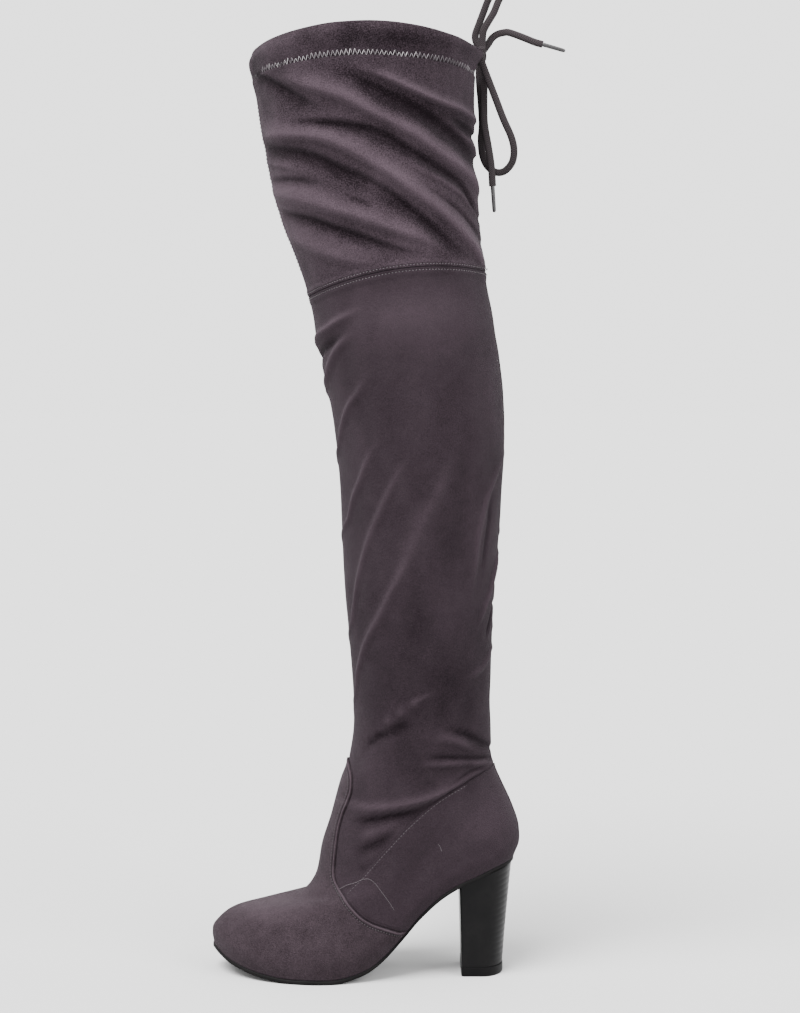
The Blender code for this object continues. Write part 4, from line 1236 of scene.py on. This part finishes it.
def beside(table, margin, side, first=0.0, last=1.0):
    """Line on the boot at a margin from a table's edge in the side view, between two shares of it."""
    x, z = side_curve(table)
    low, high = round(first * (len(x) - 1)), round(last * (len(x) - 1))
    run = np.stack([np.gradient(x), np.gradient(z)], axis=-1)
    run /= np.linalg.norm(run, axis=1, keepdims=True)
    x, z = x - run[:, 1] * margin, z + run[:, 0] * margin
    return side_line(x[low:high + 1], z[low:high + 1], side)


def one_stitch():
    """Mesh of a stitch of unit length and thickness, with few faces."""
    bm = bmesh.new()
    bmesh.ops.create_uvsphere(bm, u_segments=6, v_segments=5, radius=0.5)
    mesh = bpy.data.meshes.new("stitch")
    bm.to_mesh(mesh)
    bm.free()
    return mesh


def run_of_stitches(points, normals, pitch, length, swing=0.0):
    """Starts, ends and outward directions of stitches along a seam, turned a little to and fro."""
    along = way_along(points)
    marks = np.arange(pitch / 2, along[-1], pitch)
    out = read_line(normals, along, marks)
    out /= np.linalg.norm(out, axis=1, keepdims=True)
    run = read_line(points, along, marks + pitch / 2) - read_line(points, along, marks - pitch / 2)
    run -= out * np.sum(run * out, axis=1, keepdims=True)
    run /= np.linalg.norm(run, axis=1, keepdims=True)
    angle = np.where(np.arange(len(marks)) % 2, swing, -swing)[:, None]
    run = run * np.cos(angle) + np.cross(out, run) * np.sin(angle)
    middle = read_line(points, along, marks)
    return middle - run * length / 2, middle + run * length / 2, out


def seam_rows(lines, pitch, length, width, swing=0.0):
    """Rows of stitches along several lines on the cloth."""
    return [(*run_of_stitches(*line, pitch, length, swing), width) for line in lines]


def sew(name, rows, finish):
    """Stitches from rows of starts, ends, outward directions and a thickness."""
    bm = bmesh.new()
    stitch = one_stitch()
    for starts, ends, normals, width in rows:
        for start, end, out, wide in zip(starts, ends, normals, np.broadcast_to(width, len(starts))):
            run = Vector(end - start)
            along = run.normalized()
            out = Vector(out)
            out = (out - along * out.dot(along)).normalized()
            turn = Matrix((along, out.cross(along), out)).transposed().to_4x4()
            place = Matrix.Translation((start + end) / 2) @ turn
            place = place @ Matrix.Diagonal((run.length, wide, wide, 1.0))
            stitch.transform(place)
            bm.from_mesh(stitch)
            stitch.transform(place.inverted())
    bpy.data.meshes.remove(stitch)
    return add_piece(name, bm, finish)


def zigzag_rows():
    """Strokes over the casing's seam, up from the cloth below it and down again, with their places."""
    mouth = float(mouth_turn()) - 0.004
    dense = np.linspace(-mouth, mouth, 2000)
    seam = form(dense, CASING_RING)
    along = way_along(seam)
    turns = np.interp(np.arange(0, along[-1], 0.0016), along, dense)
    chance = np.random.default_rng(41).uniform(-1, 1, (2, len(turns)))
    drift = 0.0003 * np.sin(turns * 19.0) + 0.0004 * chance[0]
    free = soft_step((np.abs(turns) - 0.06) / 0.2) * soft_step((0.98 - np.abs(turns)) / 0.25)
    below = CASING_RING - (0.0013 - drift) / CASING_STEP_BELOW
    above = CASING_RING + (0.0016 + drift) / CASING_STEP_ABOVE
    lift = (0.0004 * free - 0.0003)[:, None]
    low = panel_surface(turns, below)[0] + outward(turns, below) * lift
    high = casing_surface(turns, above)[0] + outward(turns, above) * lift
    normals = outward(turns, np.full(turns.shape, float(CASING_RING)))
    thick = 1 + 0.35 * chance[1]
    return [(turns[:-1:2], low[:-1:2], high[1::2], normals[1::2], 0.00050 * thick[:-1:2]),
            (turns[1:-1:2], high[1:-1:2], low[2::2], normals[2::2], 0.00026 * thick[1:-1:2])]


def build_stitches(pale, faded, middle, seam, dark):
    """All visible stitching."""
    for name, finish, worn in (("casing_stitches", pale, False), ("casing_stitches_worn", faded, True)):
        rows = []
        for turns, *strokes in zigzag_rows():
            places = np.abs(turns) + 0.08 * np.sin(turns * 173.0)
            keep = ((places < 0.24) | (places > 0.66)) == worn
            rows.append([np.broadcast_to(part, keep.shape + np.shape(part)[1:])[keep] for part in strokes])
        sew(name, rows, finish)
    full = np.linspace(0, 2, 600)
    knee = ((-KNEE_ROW_BELOW / KNEE_STEP_BELOW, 0.0003), (KNEE_ROW_ABOVE / KNEE_STEP_ABOVE, 0.0005))
    lines = [stitch_line(full, np.full(full.shape, KNEE_RING + up), lift) for up, lift in knee]
    sew("knee_stitches", seam_rows(lines, 0.0025, 0.0015, 0.00055, 0.5), seam)
    sides = (-1, 1)
    over = CLEARANCE + OVERLAY_WALL
    lines = [stitch_line(*beside(VAMP_EDGE, -VAMP_ROW, side, 0.14, 0.90), over - 0.0002) for side in sides]
    sew("vamp_stitches", seam_rows(lines, 0.0022, 0.0015, 0.0007), dark)
    edges = [beside(COUNTER_EDGE, -COUNTER_ROW, side, 0.0, 0.97) for side in sides]
    lines = [stitch_line(*edge, over - 0.0003) for edge in edges]
    sew("counter_stitches", seam_rows(lines, 0.0027, 0.0018, 0.0004), middle)
    rings = np.linspace(9.2, KNEE_RING - 0.1, 500)
    gap = BACK_ROW / half_girth(form(np.ones(rings.shape), rings)[:, 2])
    back = [stitch_line(1 + side * gap, rings, 0.0002) for side in sides]
    rings = np.linspace(KNEE_RING + 0.25, CASING_RING - 0.1, 200)
    front = [stitch_line(np.full(rings.shape, FRONT_ROW / 0.23), rings, 0.0001)]
    rows = seam_rows(back, 0.0028, 0.0020, 0.0005) + seam_rows(front, 0.0030, 0.0018, 0.0005)
    sew("shaft_stitches", rows, dark)


def build_threads(finish):
    """Hair-thin loose threads lying on the nap."""
    whole = bmesh.new()
    for thread in THREADS:
        line = curve_through(thread, 12 * len(thread))
        lift = CLEARANCE + OVERLAY_WALL + THREAD_WIDTH / 2
        points, normals = stitch_line(*side_line(line[:, 0], line[:, 1], 1), lift)
        grid = braid_grid(points, normals, THREAD_WIDTH, THREAD_WIDTH)
        put_in(whole, laid_grid(grid, wrap=True, caps=True))
    return add_piece("loose_threads", whole, finish)


def plate(rows):
    """Closed plate from rows of outline points, filled to the foot's middle line."""
    grid = []
    for row, shares in rows:
        middle = (row + row[::-1]) / 2
        grid += [middle + (row - middle) * share for share in shares]
    bm = laid_grid(np.array(grid), wrap=True)
    bmesh.ops.recalc_face_normals(bm, faces=bm.faces)
    return bm


def stacked(rows):
    """Closed solid from rows of outline points, one above the other."""
    rows = np.array(rows)
    return laid_grid(np.concatenate([rows, rows[:, :1]], axis=1), wrap=True, caps=True)


def sole_rows(offset, lift, count=401):
    """Outline of the foot at an offset from the upper, at a lift above the sole's underside."""
    turns = np.linspace(0, 2, count)
    rings = np.zeros(count)
    points = form(turns, rings)
    seat = soft_step((points[:, :1] - SEAT_BACK + 0.05) / 0.04)
    points = points + outward(turns, rings) * (offset - 0.0009 * seat)
    points[:, 0] = (points[:, 0] + points[::-1, 0]) / 2
    points[:, 2] = sole_rise(points[:, 0]) + lift
    return points


def build_outsole(finish):
    """Thin sheet with a rounded lower edge."""
    edge = CLEARANCE + OVERLAY_WALL + WELT
    r = SOLE_EDGE / 4
    filled = (0.0, 0.45, 0.8, 0.97, 1.0)
    rows = [(sole_rows(edge - r, 0.0), filled)]
    for angle in np.radians(np.linspace(-60, 0, 4)):
        rows.append((sole_rows(edge - r + r * math.cos(angle), r + r * math.sin(angle)), (1.0,)))
    for inset, lift in ((0.0, 0.6), (0.2, 0.9)):
        rows.append((sole_rows(edge - r * inset, SOLE_EDGE * lift), (1.0,)))
    rows.append((sole_rows(edge - r / 2, SOLE_EDGE), filled[::-1]))
    return add_piece("outsole", plate(rows), finish, ["outsole"], sharp=55)


def build_insole(finish):
    """Board inside the upper."""
    inside = -(UPPER_WALL + 2 * CLEARANCE)
    low = SOLE_EDGE + CLEARANCE
    rows = [
        (sole_rows(inside, low), (0.0, 0.5, 1.0)),
        (sole_rows(inside, low + INSOLE_WALL * 0.7), (1.0,)),
        (sole_rows(inside - 0.0005, low + INSOLE_WALL), (1.0, 0.9, 0.5, 0.0)),
    ]
    return add_piece("insole", plate(rows), finish, ["insole"], sharp=55)


def heel_outline(front, depth, width):
    """D-shaped outline: flat at the front with rounded corners, half an ellipse at the back."""
    corner = 0.06
    left = [(corner * (1 - math.cos(a)), 0.90 + 0.10 * math.sin(a)) for a in np.linspace(0, math.pi / 2, 7)]
    back = [(0.5 + 0.5 * math.sin(a), math.cos(a)) for a in np.linspace(0, math.pi / 2, 28)]
    sides = [(place, 1.0) for place in np.linspace(corner, 0.5, 8)[1:-1]]
    half = left + sides + back
    shares = half + [(place, -y) for place, y in half[-2::-1]]
    return np.array([(front + depth * place, -width / 2 * y) for place, y in shares])


def build_heel(finish):
    """Block of the heel, with the fine lines of its stack across the rounded back."""
    foot = TOP_PIECE_HEIGHT + CLEARANCE
    top_front = SEAT_BACK - WELT - HEEL_TOP_DEPTH
    foot_front = -HEEL_FOOT_DEPTH / 2
    rows = []
    for level in np.linspace(0, 1, HEEL_LAYERS * 6 + 1):
        share = level**HEEL_FLARE
        outline = heel_outline(
            foot_front + (top_front - foot_front) * share,
            HEEL_FOOT_DEPTH + (HEEL_TOP_DEPTH - HEEL_FOOT_DEPTH) * share,
            HEEL_FOOT_WIDTH + (HEEL_TOP_WIDTH - HEEL_FOOT_WIDTH) * share,
        )
        place = (outline[:, 0] - outline[:, 0].min()) / np.ptp(outline[:, 0])
        line = 1 - abs(math.sin(math.pi * level * HEEL_LAYERS)) ** 0.5
        edge = min(level, 1 - level) * 0.078
        cut = 0.00022 * soft_step((place - 0.55) / 0.3) * line + 0.0001 * max(0.0, 1 - edge / 0.0005)
        spread = outline - outline.mean(axis=0)
        outline = outline - spread / np.linalg.norm(spread, axis=1, keepdims=True) * cut[:, None]
        z = foot + (sole_rise(outline[:, 0]) - CLEARANCE - foot) * level
        rows.append(np.column_stack([outline, z]))
    return add_piece("heel", stacked(rows), finish, ["heel"], sharp=40)


def build_top_piece(finish):
    """Wearing piece under the heel."""
    rows = []
    for inset, z in ((0.0006, 0.0), (0.0002, 0.0002), (0.0, 0.0007), (0.0, TOP_PIECE_HEIGHT - 0.0001),
                     (0.0001, TOP_PIECE_HEIGHT)):
        size = TOP_PIECE_FLARE - 2 * inset
        depth, width = HEEL_FOOT_DEPTH + size, HEEL_FOOT_WIDTH + size
        outline = heel_outline(-depth / 2, depth, width)
        rows.append(np.column_stack([outline, np.full(len(outline), z)]))
    return add_piece("top_piece", stacked(rows), finish, ["top_piece"], sharp=35)


def broad_light(name, place, power):
    """Soft even light from one direction."""
    data = bpy.data.lights.new(name, "SUN")
    data.energy = power
    data.angle = math.radians(35)
    light = bpy.data.objects.new(name, data)
    light.location = place
    light.rotation_euler = (-Vector(place)).to_track_quat("-Z", "Y").to_euler()
    bpy.context.scene.collection.objects.link(light)


def make_studio():
    """Pale floor, and even soft light with a broad key from the upper left."""
    bm = bmesh.new()
    bmesh.ops.create_grid(bm, x_segments=1, y_segments=1, size=20.0)
    mesh = bpy.data.meshes.new("floor")
    bm.to_mesh(mesh)
    bm.free()
    floor = bpy.data.objects.new("floor", mesh)
    grey = (0.41, 0.41, 0.41, 1)
    paint, _ = new_finish("pale floor", Base_Color=grey, Roughness=0.9, Specular_IOR_Level=0.0)
    mesh.materials.append(paint)
    bpy.context.scene.collection.objects.link(floor)
    world = bpy.data.worlds.new("studio")
    world.use_nodes = True
    sky = world.node_tree.nodes["Background"]
    sky.inputs["Color"].default_value = (1, 1, 1, 1)
    sky.inputs["Strength"].default_value = 2.4
    bpy.context.scene.world = world
    broad_light("key", (-0.9, -1.1, 2.4), 11.0)
    broad_light("fill", (1.6, -1.2, 1.2), 3.0)


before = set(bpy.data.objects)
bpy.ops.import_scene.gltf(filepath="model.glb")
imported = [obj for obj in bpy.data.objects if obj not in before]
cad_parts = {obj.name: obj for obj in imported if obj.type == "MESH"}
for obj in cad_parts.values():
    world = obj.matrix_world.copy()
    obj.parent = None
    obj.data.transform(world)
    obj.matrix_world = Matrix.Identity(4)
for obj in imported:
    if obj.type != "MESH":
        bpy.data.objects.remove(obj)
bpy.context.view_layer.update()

make_camera()
grain = grain_group()
lace_finish = braid_finish("lace braid")
tip_finish = grained("lace tip", grain, (0.010, 0.009, 0.010), (0.022, 0.020, 0.021), 900.0, 0.30, 0.45)
build_drawstring(lace_finish, tip_finish)

nap = nap_group()
deep = (0.0050, 0.0031, 0.0043)
body_suede = suede("grey suede", nap, deep, (0.0400, 0.0285, 0.0355), 0.25, 0.9)
thigh_suede = suede("grey suede of the thigh", nap, deep, (0.0560, 0.0402, 0.0500), 0.4, 1.9)
pale_deep = (0.0068, 0.0045, 0.0057)
vamp_suede = suede("grey suede of the foot", nap, pale_deep, (0.0440, 0.0318, 0.0385), 0.6, 1.5)
lining = grained("plain lining", grain, (0.012, 0.010, 0.011), (0.028, 0.024, 0.026), 1500.0, 0.9, 1.0, 0.4)
build_upper(body_suede, lining)
build_overlay("vamp", in_vamp, True, (150, 231), vamp_edge, 5.0, vamp_suede)
build_overlay("counter", in_counter, False, (130, 211), counter_edge, 0.0, body_suede)
build_thigh_panel(thigh_suede, lining)
build_casing(thigh_suede)

threads = [grained(name, grain, dark, light, 2500.0, 0.5, 0.7) for name, dark, light in THREAD_COLOURS]
build_stitches(*threads)
build_threads(threads[3])

sole_finish = grained("black rubber sheet", grain, (0.0016, 0.0014, 0.0015), (0.0042, 0.0038, 0.0039),
                      700.0, 0.55, 0.7, Specular_IOR_Level=0.07)
heel_finish = grained("black heel cover", grain, (0.0017, 0.0016, 0.0018), (0.0027, 0.0025, 0.0026),
                      300.0, 0.28, 0.42, Specular_IOR_Level=0.10)
wearing_finish = grained("wearing rubber", grain, (0.0012, 0.0011, 0.0013), (0.0032, 0.0029, 0.0031),
                         900.0, 0.4, 0.5, Specular_IOR_Level=0.08)
build_outsole(sole_finish)
build_insole(lining)
build_heel(heel_finish)
build_top_piece(wearing_finish)

make_studio()
